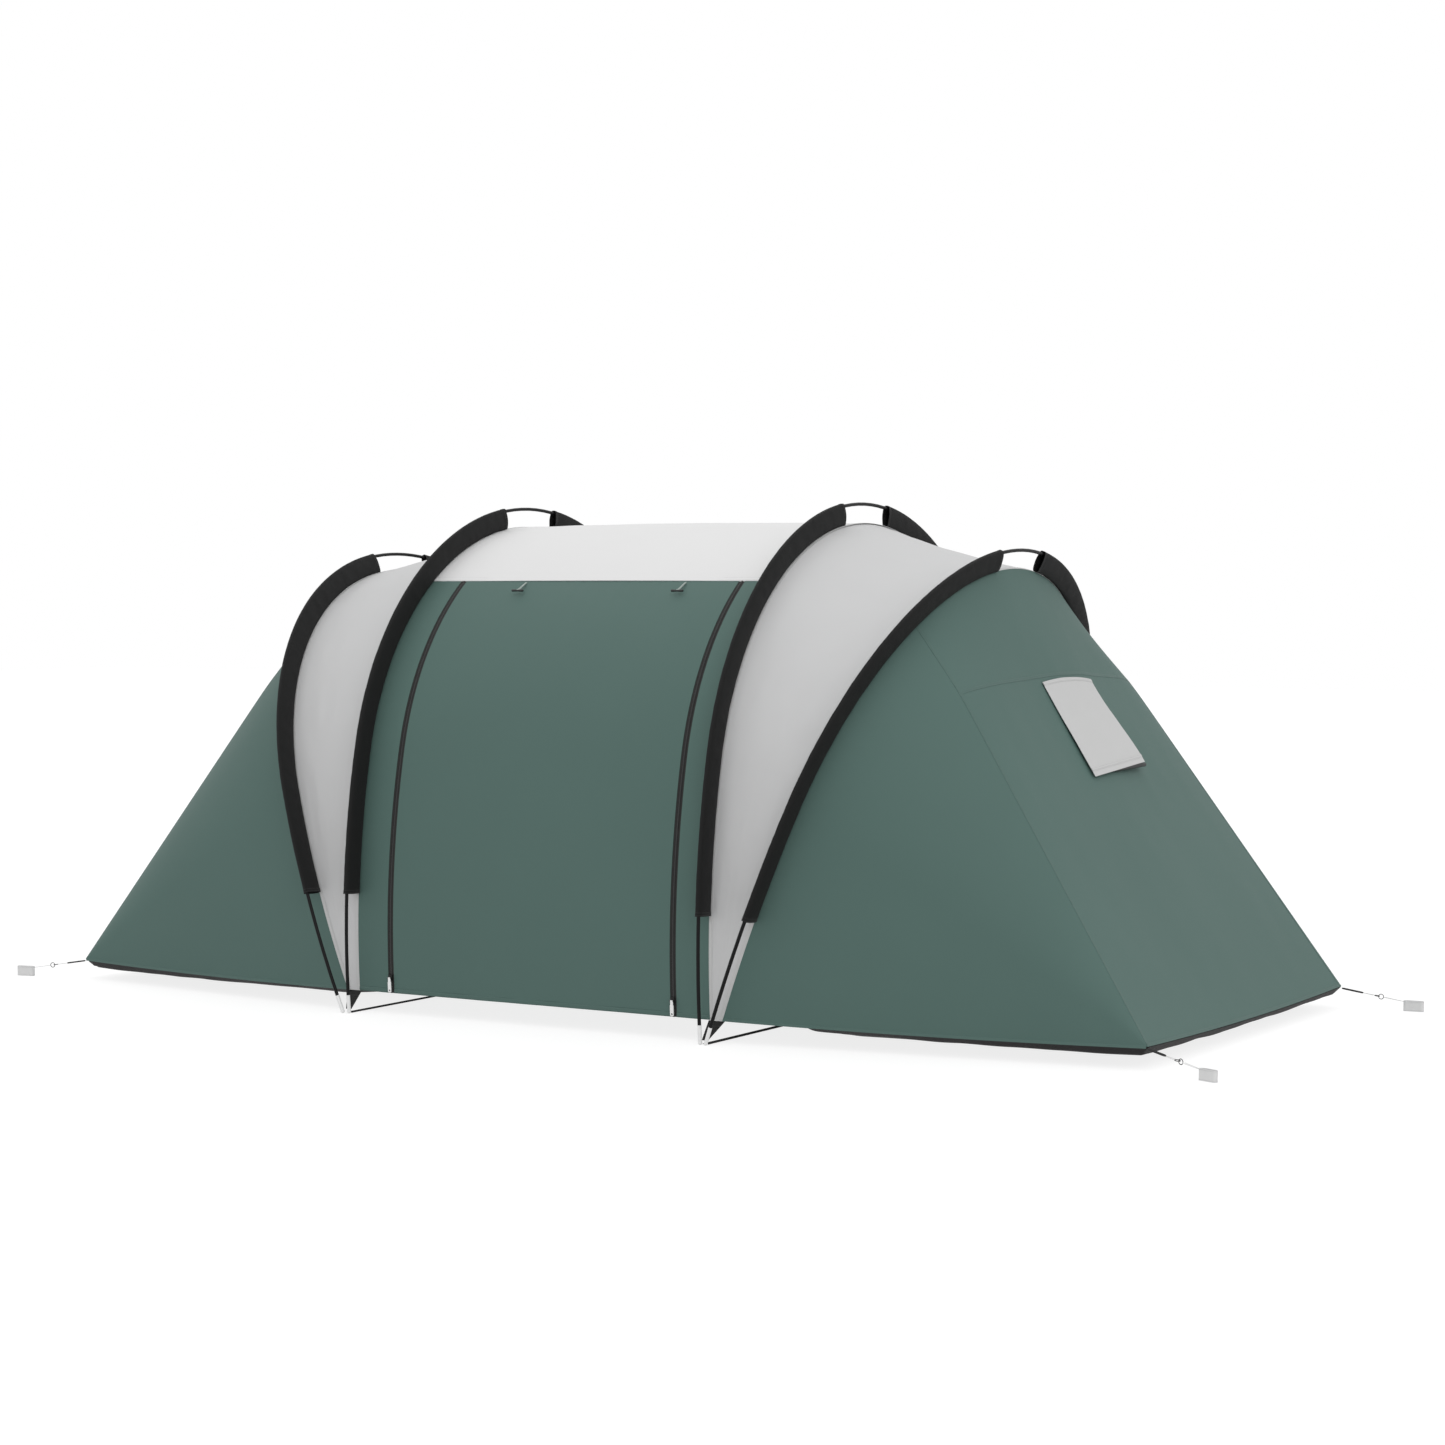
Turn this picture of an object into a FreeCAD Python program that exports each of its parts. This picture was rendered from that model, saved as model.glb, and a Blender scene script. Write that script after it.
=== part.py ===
import FreeCAD, Part
import math
import os

# Tunnel tent with two bedrooms, in millimetres. +Z is up, X runs along the tent from bedroom to
# bedroom, and the door is in the middle of the long side at -Y. The origin is on the ground
# under the middle of the tent.

V = FreeCAD.Vector

# Plan
bay_half = 660.0            # from the middle of the tent to each inner arch
foot_gap = 20.0             # an outer arch's feet stand this much further out
end_reach = 2000.0          # from the middle to the fly's corners, along X
end_half_width = 780.0      # from the middle to the fly's corners, along Y
hem_height = 68.0           # the fly's lower edge, above the ground

# Arches, each measured in its own plane
inner_half_width = 1025.0
inner_widest_height = 263.0
inner_side_radius = 2740.0
inner_rise = 1631.0
outer_half_width = 1027.0
outer_widest_height = 242.0
outer_side_radius = 2915.0
outer_rise = 1577.0
outer_lean = math.radians(20.3)

# Poles
rod_radius = 5.5
rod_bore_radius = 3.5
rods_per_pole = 7
rod_gap = 0.5
ferrule_radius = 6.8
ferrule_length = 110.0
ferrule_clearance = 0.15
tip_radius = 6.5
tip_shank_radius = 6.0
tip_length = 60.0
shock_cord_radius = 1.5

# Fly cloth
cloth = 2.0
seam_gap = 3.0              # between the edges of two panels that are sewn together
fin = 62.0                  # from a pole's middle to the fly seam under it
sleeve_radius = 10.0
sleeve_belly = 13.0
sleeve_wall = 1.4
sleeve_base = 3.0
sleeve_lift = 0.8
sleeve_crown_gap = 150.0    # from the top of an arch to the end of each sleeve, along the pole
inner_sleeve_start = 385.0  # from the foot to the lower end of a sleeve, along the pole
outer_sleeve_start = 405.0

# Middle bay
roof_seam_height = 1382.0
zip_x = 532.0
tape_width = 28.0
tape_proud = 0.5
chain_width = 6.0
chain_height = 2.5
door_gap = 1.0

# Zip sliders and pullers
slider_height = 118.0
slider_length = 20.0
slider_width = 14.0
slider_plate = 3.0
slider_clearance = 0.5
lug_reach = 6.0
lug_thickness = 2.0
barrel_radius = 2.0
pin_radius = 0.8
pin_clearance = 0.2
puller_length = 46.0
puller_width = 12.0
puller_thickness = 2.4
puller_eye_radius = 3.0

# Toggles that hold the rolled door
toggle_places = (-276.0, 332.0)
toggle_drop = 12.0
toggle_stand_off = 3.5
toggle_lift = math.radians(10.0)
toggle_cord_radius = 1.6
toggle_cord_length = 56.0
toggle_bar_radius = 4.0
toggle_bar_length = 44.0

# Bedroom ends
corner_seam_start = 1507.0  # from the foot of an outer arch to the corner seam, along the pole
end_seam_height = 1030.0    # the cross seam at the corner seams
end_seam_bow = 75.0         # the cross seam is this much higher in the middle
end_sag = 26.0              # and the cloth there this much further in
corner_knee = 36.0          # the corner seam stands out this much where the cross seam meets it
knee_spread = 0.68          # the share of a panel over which a knee dies away
corner_cut = 30.0

# Bedroom vents
vent_top = 40.0
vent_bottom = 300.0
vent_half_width = 140.0
vent_clearance = 1.5
flap_length = 331.0
flap_half_width = 176.0
flap_drop = 16.0
flap_stand_off = 5.0
flap_open = math.radians(1.5)
flap_rod_radius = 5.0
prop_place = 318.0
prop_width = 20.0
prop_thickness = 3.0
prop_clearance = 2.2

# Feet
webbing_thickness = 2.5
webbing_width = 20.0
webbing_foot_height = 14.0
webbing_clearance = 1.5
strap_clearance = 0.3

# Groundsheets
sheet = 2.0
sheet_bay_gap = 52.0          # from the feet of an inner arch to the groundsheet
sheet_rim_clearance = 2.5
sheet_bend_height = 38.0
sheet_bend_inset = 25.0
sheet_floor_inset = 300.0
sheet_door_bend_inset = 8.0
sheet_door_floor_inset = 60.0

# Inner tents
inner_tent_gap = 70.0
inner_tent_cloth = 2.0
inner_tent_foot = 72.0
inner_end_x = 1860.0
inner_end_half_width = 690.0
inner_end_height = 150.0
inner_door_half_width = 350.0
inner_door_foot = 130.0
inner_door_top = 1250.0
inner_door_clearance = 2.0

# Corner tethers, as distances from the fly's corner along each tether
tether_headings = {
    "front_right": -22.0,
    "back_right": 5.0,
    "front_left": 193.0,
    "back_left": 167.0,
}
tether_top = 62.0
tether_slope = 0.155
loop_start = 6.0
loop_end = 72.0
loop_half_width = 6.0
loop_cord_radius = 2.4
ring_radius = 8.0
ring_wire_radius = 1.2
ring_places = (118.0, 131.0)
lashing_half_width = 4.5
tether_cord_radius = 0.9
tether_clearance = 0.6
band_start = 204.0
band_length = 66.0
band_height = 34.0
band_width = 18.0
band_wall = 1.6
band_ground_clearance = 0.5


class Arch:
    """A three-centred arch. In its own plane y runs from foot to foot and z up the plane."""

    def __init__(self, half_width, widest_height, side_radius, rise, foot_x, lean):
        side_centre = side_radius - half_width
        over = rise - widest_height
        top_radius = (side_radius**2 - side_centre**2 - over**2) / (2.0 * (side_radius - over))
        top_centre = rise - top_radius
        foot = -math.asin(widest_height / side_radius)
        join = math.atan2(top_centre - widest_height, side_centre)
        self.foot_x = foot_x
        self.lean = lean
        self.legs = [
            (side_centre, widest_height, side_radius, foot, join),
            (0.0, top_centre, top_radius, join, math.pi - join),
            (-side_centre, widest_height, side_radius, math.pi - join, math.pi - foot),
        ]
        self.starts = [0.0]
        for centre_y, centre_z, radius, low, high in self.legs:
            self.starts.append(self.starts[-1] + radius * (high - low))
        self.length = self.starts[-1]

    def leg_at(self, along):
        """The leg at a distance along the pole from its front foot, and the angle there."""
        number = 0
        while number < 2 and along > self.starts[number + 1]:
            number += 1
        leg = self.legs[number]
        return leg, leg[3] + (along - self.starts[number]) / leg[2]

    def spot(self, along, inset=0.0, x=0.0):
        (centre_y, centre_z, radius, low, high), angle = self.leg_at(along)
        reach = radius - inset
        return V(x, centre_y - reach * math.cos(angle), centre_z + reach * math.sin(angle))

    def outward(self, along):
        leg, angle = self.leg_at(along)
        return V(0.0, -math.cos(angle), math.sin(angle))

    def along_at_height(self, height, inset=0.0):
        """How far along the pole the point is whose inset copy reaches this height."""
        plane_height = height / math.cos(self.lean)
        for number in (0, 1):
            centre_y, centre_z, radius, low, high = self.legs[number]
            angle = math.asin(min(1.0, max(-1.0, (plane_height - centre_z) / (radius - inset))))
            if angle <= high:
                return self.starts[number] + (angle - low) * radius
        return self.length / 2.0

    def stretches(self, start, end):
        """The legs between two distances along the pole, each with its first and last angle."""
        found = []
        for number, leg in enumerate(self.legs):
            low = max(start, self.starts[number])
            high = min(end, self.starts[number + 1])
            if high - low > 0.01:
                first = leg[3] + (low - self.starts[number]) / leg[2]
                found.append((leg, first, first + (high - low) / leg[2]))
        return found

    def arcs(self, start, end, inset, x=0.0):
        edges = []
        for (centre_y, centre_z, radius, foot, join), low, high in self.stretches(start, end):
            reach = radius - inset
            points = [
                V(x, centre_y - reach * math.cos(angle), centre_z + reach * math.sin(angle))
                for angle in (low, (low + high) / 2.0, high)
            ]
            edges.append(Part.Arc(*points).toShape())
        return edges

    def stand(self, shape, side=1):
        """Takes a shape from the arch's own plane to its place, on the right or the left."""
        placed = shape.copy()
        placed.rotate(V(0, 0, 0), V(0, 1, 0), math.degrees(self.lean))
        placed.translate(V(self.foot_x, 0, 0))
        return placed if side > 0 else mirror_x(placed)

    def point(self, along, inset):
        """A point of the right-hand arch in the tent's frame."""
        flat = self.spot(along, inset)
        return V(self.foot_x + flat.z * math.sin(self.lean), flat.y, flat.z * math.cos(self.lean))


def mirror_x(shape):
    return shape.mirror(V(0, 0, 0), V(1, 0, 0))


def mirror_y(shape):
    return shape.mirror(V(0, 0, 0), V(0, 1, 0))


def save(name, solids):
    pieces = solids if isinstance(solids, list) else [solids]
    shape = pieces[0] if len(pieces) == 1 else Part.makeCompound(pieces)
    shape.exportStep(f"parts/{name}.step")
    print(name, len(shape.Solids), "solids", round(shape.Volume / 1000.0, 1), "cm3")


def circle_face(centre, normal, radius):
    return Part.Face(Part.Wire(Part.Circle(centre, normal, radius).toShape()))


def ring_section(radius, bore=0.0):
    """A round section for sweep(), solid or hollow."""
    def section(centre, outward):
        normal = outward.cross(V(1, 0, 0))
        face = circle_face(centre, normal, radius)
        return face.cut(circle_face(centre, normal, bore)).Faces[0] if bore else face
    return section


def pouch_wire(centre, outward, round_radius, belly, base_depth, base):
    """A flattened pouch round the pole that narrows to the fly seam."""
    across = V(1, 0, 0)
    middle = base_depth * 0.45
    crown = [centre + across * round_radius, centre + outward * round_radius, centre - across * round_radius]
    low_left = centre - outward * base_depth - across * base
    low_right = centre - outward * base_depth + across * base
    return Part.Wire([
        Part.Arc(*crown).toShape(),
        Part.Arc(crown[2], centre - outward * middle - across * belly, low_left).toShape(),
        Part.LineSegment(low_left, low_right).toShape(),
        Part.Arc(low_right, centre - outward * middle + across * belly, crown[0]).toShape(),
    ])


def sleeve_section(centre, outward):
    outer = pouch_wire(centre, outward, sleeve_radius, sleeve_belly, fin - sleeve_lift, sleeve_base)
    inner = pouch_wire(
        centre,
        outward,
        sleeve_radius - sleeve_wall,
        sleeve_belly - sleeve_wall,
        fin - sleeve_lift - 2.0 * sleeve_wall,
        sleeve_base - sleeve_wall * 0.8,
    )
    return Part.Face(outer).cut(Part.Face(inner)).Faces[0]


def sweep(arch, start, end, section):
    """Sweeps a section along the pole line, exactly, one turned piece for each leg."""
    turned = []
    for (centre_y, centre_z, radius, foot, join), low, high in arch.stretches(start, end):
        outward = V(0.0, -math.cos(low), math.sin(low))
        centre = V(0.0, centre_y, centre_z)
        face = section(centre + outward * radius, outward)
        turned.append(face.revolve(centre, V(-1, 0, 0), math.degrees(high - low)))
    body = turned[0]
    for piece in turned[1:]:
        body = body.fuse(piece)
    return body.removeSplitter().Solids[0]


def bay_panel(arch, start, end, outer_inset, inner_inset, low_x, high_x):
    """Cloth that runs straight along the tent between two distances up the arch."""
    outer = arch.arcs(start, end, outer_inset, low_x)
    inner = arch.arcs(start, end, inner_inset, low_x)
    low = Part.LineSegment(arch.spot(start, inner_inset, low_x), arch.spot(start, outer_inset, low_x))
    high = Part.LineSegment(arch.spot(end, outer_inset, low_x), arch.spot(end, inner_inset, low_x))
    wire = Part.Wire(Part.__sortEdges__([low.toShape()] + outer + [high.toShape()] + inner))
    return Part.Face(wire).extrude(V(high_x - low_x, 0, 0))


def loft(wires):
    """A straight-sided solid through closed outlines, given in either order."""
    body = Part.makeLoft(wires, True, True).Solids[0]
    if body.Volume < 0.0:
        body = Part.makeLoft(wires[::-1], True, True).Solids[0]
    return body


def outward_normals(rules, inside):
    """The outward direction of the cloth at each of the straight rules it is stretched over."""
    middles = [(first + last) * 0.5 for first, last in rules]
    normals = []
    for number, (first, last) in enumerate(rules):
        before = middles[max(0, number - 1)]
        after = middles[min(len(middles) - 1, number + 1)]
        normal = (last - first).cross(after - before)
        normal.normalize()
        if normal.dot(middles[number] - inside) < 0.0:
            normal = normal * -1.0
        normals.append(normal)
    return normals


def skin(rules, inside, knees=()):
    """Cloth over straight rules, each with a knee if given: its share along the rule and how far it stands out."""
    wires = []
    for number, normal in enumerate(outward_normals(rules, inside)):
        first, last = rules[number]
        edge = [first, last]
        if knees:
            share, stand_out = knees[number]
            edge.insert(1, first + (last - first) * share + normal * stand_out)
        drop = normal * cloth
        wires.append(Part.makePolygon(edge + [point - drop for point in reversed(edge)] + [first]))
    return loft(wires)


def plate(corners, thickness):
    face = Part.Face(Part.makePolygon(corners + [corners[0]]))
    normal = (corners[1] - corners[0]).cross(corners[2] - corners[1])
    normal.normalize()
    return face.extrude(normal * thickness)


def toward(start, end, distance):
    step = end - start
    step.normalize()
    return start + step * distance


def shares(count):
    return [number / (count - 1.0) for number in range(count)]


inner = Arch(
    inner_half_width, inner_widest_height, inner_side_radius, inner_rise, bay_half, 0.0)
outer = Arch(
    outer_half_width, outer_widest_height, outer_side_radius, outer_rise, bay_half + foot_gap, outer_lean)

inner_hem = inner.along_at_height(hem_height, fin)
outer_hem = outer.along_at_height(hem_height, fin)
roof_seam = inner.along_at_height(roof_seam_height, fin)
inside_right = V(bay_half + 500.0, 0.0, hem_height)
corner = V(end_reach, -end_half_width, hem_height)


# Poles

def pole_rods(arch):
    start = tip_length + rod_gap
    step = (arch.length - 2.0 * start + rod_gap) / rods_per_pole
    section = ring_section(rod_radius, rod_bore_radius)
    return [
        sweep(arch, start + number * step, start + (number + 1) * step - rod_gap, section)
        for number in range(rods_per_pole)
    ]


def pole_ferrules(arch):
    start = tip_length + rod_gap
    step = (arch.length - 2.0 * start + rod_gap) / rods_per_pole
    section = ring_section(ferrule_radius, rod_radius + ferrule_clearance)
    half = ferrule_length / 2.0
    joints = [start + number * step for number in range(1, rods_per_pole)]
    return [sweep(arch, joint - half, joint + half, section) for joint in joints]


def pole_tip(arch):
    """A rod end that stands on the ground on its rounded foot."""
    ball_along = arch.along_at_height(tip_radius)
    ball = Part.makeSphere(tip_radius, arch.spot(ball_along))
    shank = sweep(arch, ball_along, tip_length, ring_section(tip_shank_radius))
    return ball.fuse(shank).removeSplitter().Solids[0]


def make_poles():
    ferrules = []
    tips = []
    cords = []
    for name, arch in (("inner", inner), ("outer", outer)):
        tip = pole_tip(arch)
        cord = sweep(arch, tip_length + 2.0, arch.length - tip_length - 2.0, ring_section(shock_cord_radius))
        for side_name, side in (("left", -1), ("right", 1)):
            save(f"pole_{name}_{side_name}", [arch.stand(rod, side) for rod in pole_rods(arch)])
            ferrules += [arch.stand(ferrule, side) for ferrule in pole_ferrules(arch)]
            tips += [arch.stand(tip, side), mirror_y(arch.stand(tip, side))]
            cords.append(arch.stand(cord, side))
    save("pole_ferrules", ferrules)
    save("pole_tips", tips)
    save("shock_cords", cords)


def make_sleeves():
    for name, arch, start in (("inner", inner, inner_sleeve_start), ("outer", outer, outer_sleeve_start)):
        front = sweep(arch, start, arch.length / 2.0 - sleeve_crown_gap, sleeve_section)
        for side_name, side in (("left", -1), ("right", 1)):
            placed = arch.stand(front, side)
            save(f"sleeves_{name}_{side_name}", [placed, mirror_y(placed)])


# Middle bay

def make_bay():
    half_gap = seam_gap / 2.0
    edge = bay_half - half_gap
    far = inner.length - roof_seam
    zip_inner = zip_x - tape_width / 2.0
    zip_outer = zip_x + tape_width / 2.0
    save("fly_roof", bay_panel(inner, roof_seam + half_gap, far - half_gap, fin, fin + cloth, -edge, edge))
    back = bay_panel(inner, inner_hem, roof_seam - half_gap, fin, fin + cloth, -edge, edge)
    save("wall_back", mirror_y(back))
    side = bay_panel(inner, inner_hem, roof_seam - half_gap, fin, fin + cloth, zip_outer + door_gap, edge)
    save("wall_front_right", side)
    save("wall_front_left", mirror_x(side))
    door_edge = zip_inner - door_gap
    door = bay_panel(inner, inner_hem, roof_seam - half_gap, fin, fin + cloth, -door_edge, door_edge)
    save("door_front", door)
    tape = bay_panel(
        inner, inner_hem, roof_seam - half_gap, fin - tape_proud, fin - tape_proud + cloth, zip_inner, zip_outer)
    chain = bay_panel(
        inner, inner_hem, roof_seam - half_gap, fin - tape_proud - chain_height, fin - tape_proud,
        zip_x - chain_width / 2.0, zip_x + chain_width / 2.0)
    zip_right = tape.fuse(chain).removeSplitter().Solids[0]
    save("zip_right", zip_right)
    save("zip_left", mirror_x(zip_right))


def zip_frame(shape, x):
    """Takes a shape from a flat frame, outward at -Y and up at +Z, to the zip at the slider's height."""
    along = inner.along_at_height(slider_height, fin)
    leg, angle = inner.leg_at(along)
    placed = shape.copy()
    placed.rotate(V(0, 0, 0), V(1, 0, 0), -math.degrees(angle))
    placed.translate(inner.spot(along, fin, x))
    return placed


def block(low, high):
    size = V(*high) - V(*low)
    return Part.makeBox(size.x, size.y, size.z, V(*low))


def make_sliders():
    over_tape = tape_proud + slider_clearance
    over_chain = tape_proud + chain_height + slider_clearance
    top = over_chain + slider_plate
    half_width = slider_width / 2.0
    half_length = slider_length / 2.0
    channel = chain_width / 2.0 + slider_clearance
    body = block((-half_width, -top, -half_length), (half_width, -over_tape, half_length))
    body = body.cut(block((-channel, -over_chain, -half_length - 1), (channel, 0, half_length + 1)))
    axis_out = top + lug_reach - barrel_radius
    for side in (-1, 1):
        outer_face = side * half_width
        inner_face = side * (half_width - lug_thickness)
        lug = block(
            (min(outer_face, inner_face), -axis_out - barrel_radius, -barrel_radius),
            (max(outer_face, inner_face), -top + 0.5, barrel_radius))
        body = body.fuse(lug)
    pin = Part.makeCylinder(
        pin_radius, slider_width - lug_thickness, V(-half_width + lug_thickness / 2.0, -axis_out, 0), V(1, 0, 0))
    body = body.fuse(pin).removeSplitter().Solids[0]

    barrel_half = half_width - lug_thickness - slider_clearance
    barrel = Part.makeCylinder(barrel_radius, 2.0 * barrel_half, V(-barrel_half, -axis_out, 0), V(1, 0, 0))
    half_puller = puller_width / 2.0
    half_thick = puller_thickness / 2.0
    neck = block(
        (-barrel_half, -axis_out - half_thick, -half_length - 2.0),
        (barrel_half, -axis_out + half_thick, 0))
    tab = block(
        (-half_puller, -axis_out - half_thick, -puller_length),
        (half_puller, -axis_out + half_thick, -half_length - 1.0))
    corners = [edge for edge in tab.Edges if abs(edge.tangentAt(edge.FirstParameter).y) > 0.99]
    tab = tab.makeFillet(puller_width * 0.3, corners)
    eye = Part.makeCylinder(
        puller_eye_radius, 4.0 * puller_thickness,
        V(0, -axis_out - 2.0 * puller_thickness, -puller_length + puller_width / 2.0), V(0, 1, 0))
    bore = Part.makeCylinder(
        pin_radius + pin_clearance, 2.0 * slider_width, V(-slider_width, -axis_out, 0), V(1, 0, 0))
    puller = barrel.fuse(neck).fuse(tab).cut(eye).cut(bore).removeSplitter().Solids[0]
    for side_name, x in (("left", -zip_x), ("right", zip_x)):
        save(f"zip_slider_{side_name}", zip_frame(body, x))
        save(f"zip_puller_{side_name}", zip_frame(puller, x))


def make_toggles():
    """A short doubled cord with a bar on its end, sewn in just below the roof seam."""
    outward = inner.outward(roof_seam)
    down = V(1, 0, 0).cross(outward)
    if down.z > 0.0:
        down = down * -1.0
    lifted = down * math.cos(toggle_lift) + outward * math.sin(toggle_lift)
    for side_name, x in zip(("left", "right"), toggle_places):
        root = inner.spot(roof_seam, fin, x) + down * toggle_drop + outward * toggle_stand_off
        tip = root + lifted * toggle_cord_length
        pieces = []
        for offset in (-toggle_cord_radius - 0.4, toggle_cord_radius + 0.4):
            shift = V(offset, 0, 0)
            length = toggle_cord_length - toggle_bar_radius
            pieces.append(Part.makeCylinder(toggle_cord_radius, length, root + shift, lifted))
        bar_start = tip - V(toggle_bar_length / 2.0, 0, 0)
        pieces.append(Part.makeCylinder(toggle_bar_radius, toggle_bar_length, bar_start, V(1, 0, 0)))
        save(f"toggle_{side_name}", pieces)
        print("toggle", side_name, "root", root)


# Gores between the inner and outer arches

def make_gores():
    half_gap = seam_gap / 2.0
    rules = []
    for share in shares(33):
        a = inner.point(inner_hem + share * (inner.length - 2.0 * inner_hem), fin)
        b = outer.point(outer_hem + share * (outer.length - 2.0 * outer_hem), fin)
        rules.append((toward(a, b, half_gap), toward(b, a, half_gap)))
    gore = skin(rules, V(bay_half, 0, hem_height))
    save("gore_right", gore)
    save("gore_left", mirror_x(gore))


# Bedroom ends

def knee_reach(share):
    """How far the cloth stands out at a share of the way to a corner seam."""
    rise = max(0.0, (share - 1.0 + knee_spread) / knee_spread)
    return corner_knee * rise * rise * (3.0 - 2.0 * rise)


def side_rules():
    half_gap = seam_gap / 2.0
    peak = V(end_reach - 2.0 * seam_gap, -end_half_width, hem_height)
    rules = []
    for share in shares(17):
        along = outer_hem + share * (corner_seam_start - half_gap - outer_hem)
        edge = outer.point(along, fin)
        rules.append((toward(edge, peak, half_gap), toward(peak, edge, corner_cut)))
    return rules


def side_panel():
    rules = side_rules()
    top, foot = rules[-1]
    knee_share = (top.z - end_seam_height) / (top.z - foot.z)
    knees = [(knee_share, knee_reach(share)) for share in shares(len(rules))]
    return skin(rules, inside_right, knees)


def end_rule(across):
    """The straight rules down the end at a share from -1 at the front corner to 1 at the back."""
    half = outer.length / 2.0
    along = half + across * (half - corner_seam_start - seam_gap / 2.0)
    top = outer.point(along, fin)
    foot = V(end_reach, across * (end_half_width - seam_gap / 2.0), hem_height)
    middle = 1.0 - across**2
    height = end_seam_height + end_seam_bow * middle
    seam = top + (foot - top) * ((top.z - height) / (top.z - foot.z))
    slope = math.atan2(top.z - foot.z, foot.x - top.x)
    seam -= V(math.sin(slope), 0, math.cos(slope)) * (end_sag * middle)
    out = outward_normals(side_rules(), inside_right)[-1] * knee_reach(abs(across))
    seam += V(out.x, math.copysign(out.y, across), out.z)
    return top, seam, foot


def end_panels():
    half_gap = seam_gap / 2.0
    upper = []
    lower = []
    for share in shares(21):
        top, seam, foot = end_rule(2.0 * share - 1.0)
        upper.append((toward(top, seam, half_gap), toward(seam, top, half_gap)))
        lower.append((toward(seam, foot, half_gap), foot))
    return skin(upper, inside_right), skin(lower, inside_right)


def end_slope():
    """The slope of the end's lower panel down its middle, and the point where it starts."""
    top, seam, foot = end_rule(0.0)
    return math.atan2(seam.z - foot.z, foot.x - seam.x), seam


def on_end(shape, turn=0.0, drop=0.0, stand_off=0.0):
    """Takes a shape from a flat frame, down the slope at +X and outward at +Z, to the bedroom end."""
    slope, seam = end_slope()
    down = V(math.cos(slope), 0, -math.sin(slope))
    out = V(math.sin(slope), 0, math.cos(slope))
    placed = shape.copy()
    placed.rotate(V(0, 0, 0), V(0, 1, 0), math.degrees(slope - turn))
    placed.translate(seam + down * drop + out * stand_off)
    return placed


def make_ends():
    front = side_panel()
    upper, lower = end_panels()
    reach = 60.0
    hole = block((vent_top, -vent_half_width, -reach), (vent_bottom, vent_half_width, reach))
    filling = block(
        (vent_top + vent_clearance, -vent_half_width + vent_clearance, -reach),
        (vent_bottom - vent_clearance, vent_half_width - vent_clearance, reach))
    mesh = lower.common(on_end(filling)).Solids[0]
    lower = lower.cut(on_end(hole)).Solids[0]
    for name, shape in (("end_upper", upper), ("end_lower", lower), ("vent_mesh", mesh)):
        save(f"{name}_right", shape)
        save(f"{name}_left", mirror_x(shape))
    save("side_front_right", front)
    save("side_front_left", mirror_x(front))
    save("side_back_right", mirror_y(front))
    save("side_back_left", mirror_x(mirror_y(front)))


def make_vent_flaps():
    leaf = block((0, -flap_half_width, 0), (flap_length, flap_half_width, cloth))
    rod = Part.makeCylinder(
        flap_rod_radius, 2.0 * flap_half_width, V(flap_length, -flap_half_width, cloth - flap_rod_radius), V(0, 1, 0))
    flap = on_end(leaf.fuse(rod).removeSplitter(), flap_open, flap_drop, flap_stand_off).Solids[0]
    room = flap_stand_off + (prop_place - flap_drop) * math.tan(flap_open)
    prop = block(
        (-prop_thickness / 2.0, -prop_width / 2.0, prop_clearance),
        (prop_thickness / 2.0, prop_width / 2.0, room - prop_clearance))
    prop = on_end(prop, 0.0, prop_place, 0.0)
    for side_name, turn in (("right", lambda shape: shape), ("left", mirror_x)):
        save(f"vent_flap_{side_name}", turn(flap))
        save(f"vent_prop_{side_name}", turn(prop))
    slope, seam = end_slope()
    print("end slope", math.degrees(slope), "seam", seam)


# Feet and floor

def make_feet():
    """Webbing from the fly's lower edge to each pair of pole tips, and a strap across under the bay."""
    top_y = inner.point(inner_hem, fin).y
    low_y = inner.spot(webbing_foot_height).y + tip_radius + webbing_clearance
    top_z = hem_height - webbing_clearance - webbing_thickness
    left = bay_half - webbing_width / 4.0
    right = outer.point(outer_hem, fin).x + webbing_width / 4.0
    middle = bay_half + foot_gap / 2.0
    half = webbing_width / 2.0
    front = plate(
        [
            V(left, top_y, top_z),
            V(right, top_y, top_z),
            V(middle + half, low_y, webbing_foot_height),
            V(middle - half, low_y, webbing_foot_height),
        ],
        webbing_thickness)
    patches = [front, mirror_x(front), mirror_y(front), mirror_x(mirror_y(front))]
    save("foot_webbing", patches)
    end_y = abs(low_y) - webbing_thickness - strap_clearance
    strap = block((middle - half, -end_y, 0.0), (middle + half, end_y, webbing_thickness))
    save("ground_straps", [strap, mirror_x(strap)])


def inset_outline(corners, insets, z):
    """A closed outline whose sides are moved in, each by its own inset."""
    count = len(corners)
    moved = []
    for number in range(count):
        lines = []
        for side in (number - 1, number):
            start = corners[side % count]
            end = corners[(side + 1) % count]
            length = math.hypot(end[0] - start[0], end[1] - start[1])
            inward = (-(end[1] - start[1]) / length, (end[0] - start[0]) / length)
            offset = inward[0] * start[0] + inward[1] * start[1] + insets[side % count]
            lines.append((inward, offset))
        (a, b), first = lines[0]
        (c, d), second = lines[1]
        spread = a * d - b * c
        moved.append(V((first * d - second * b) / spread, (a * second - c * first) / spread, z))
    return Part.makePolygon(moved + [moved[0]])


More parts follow.
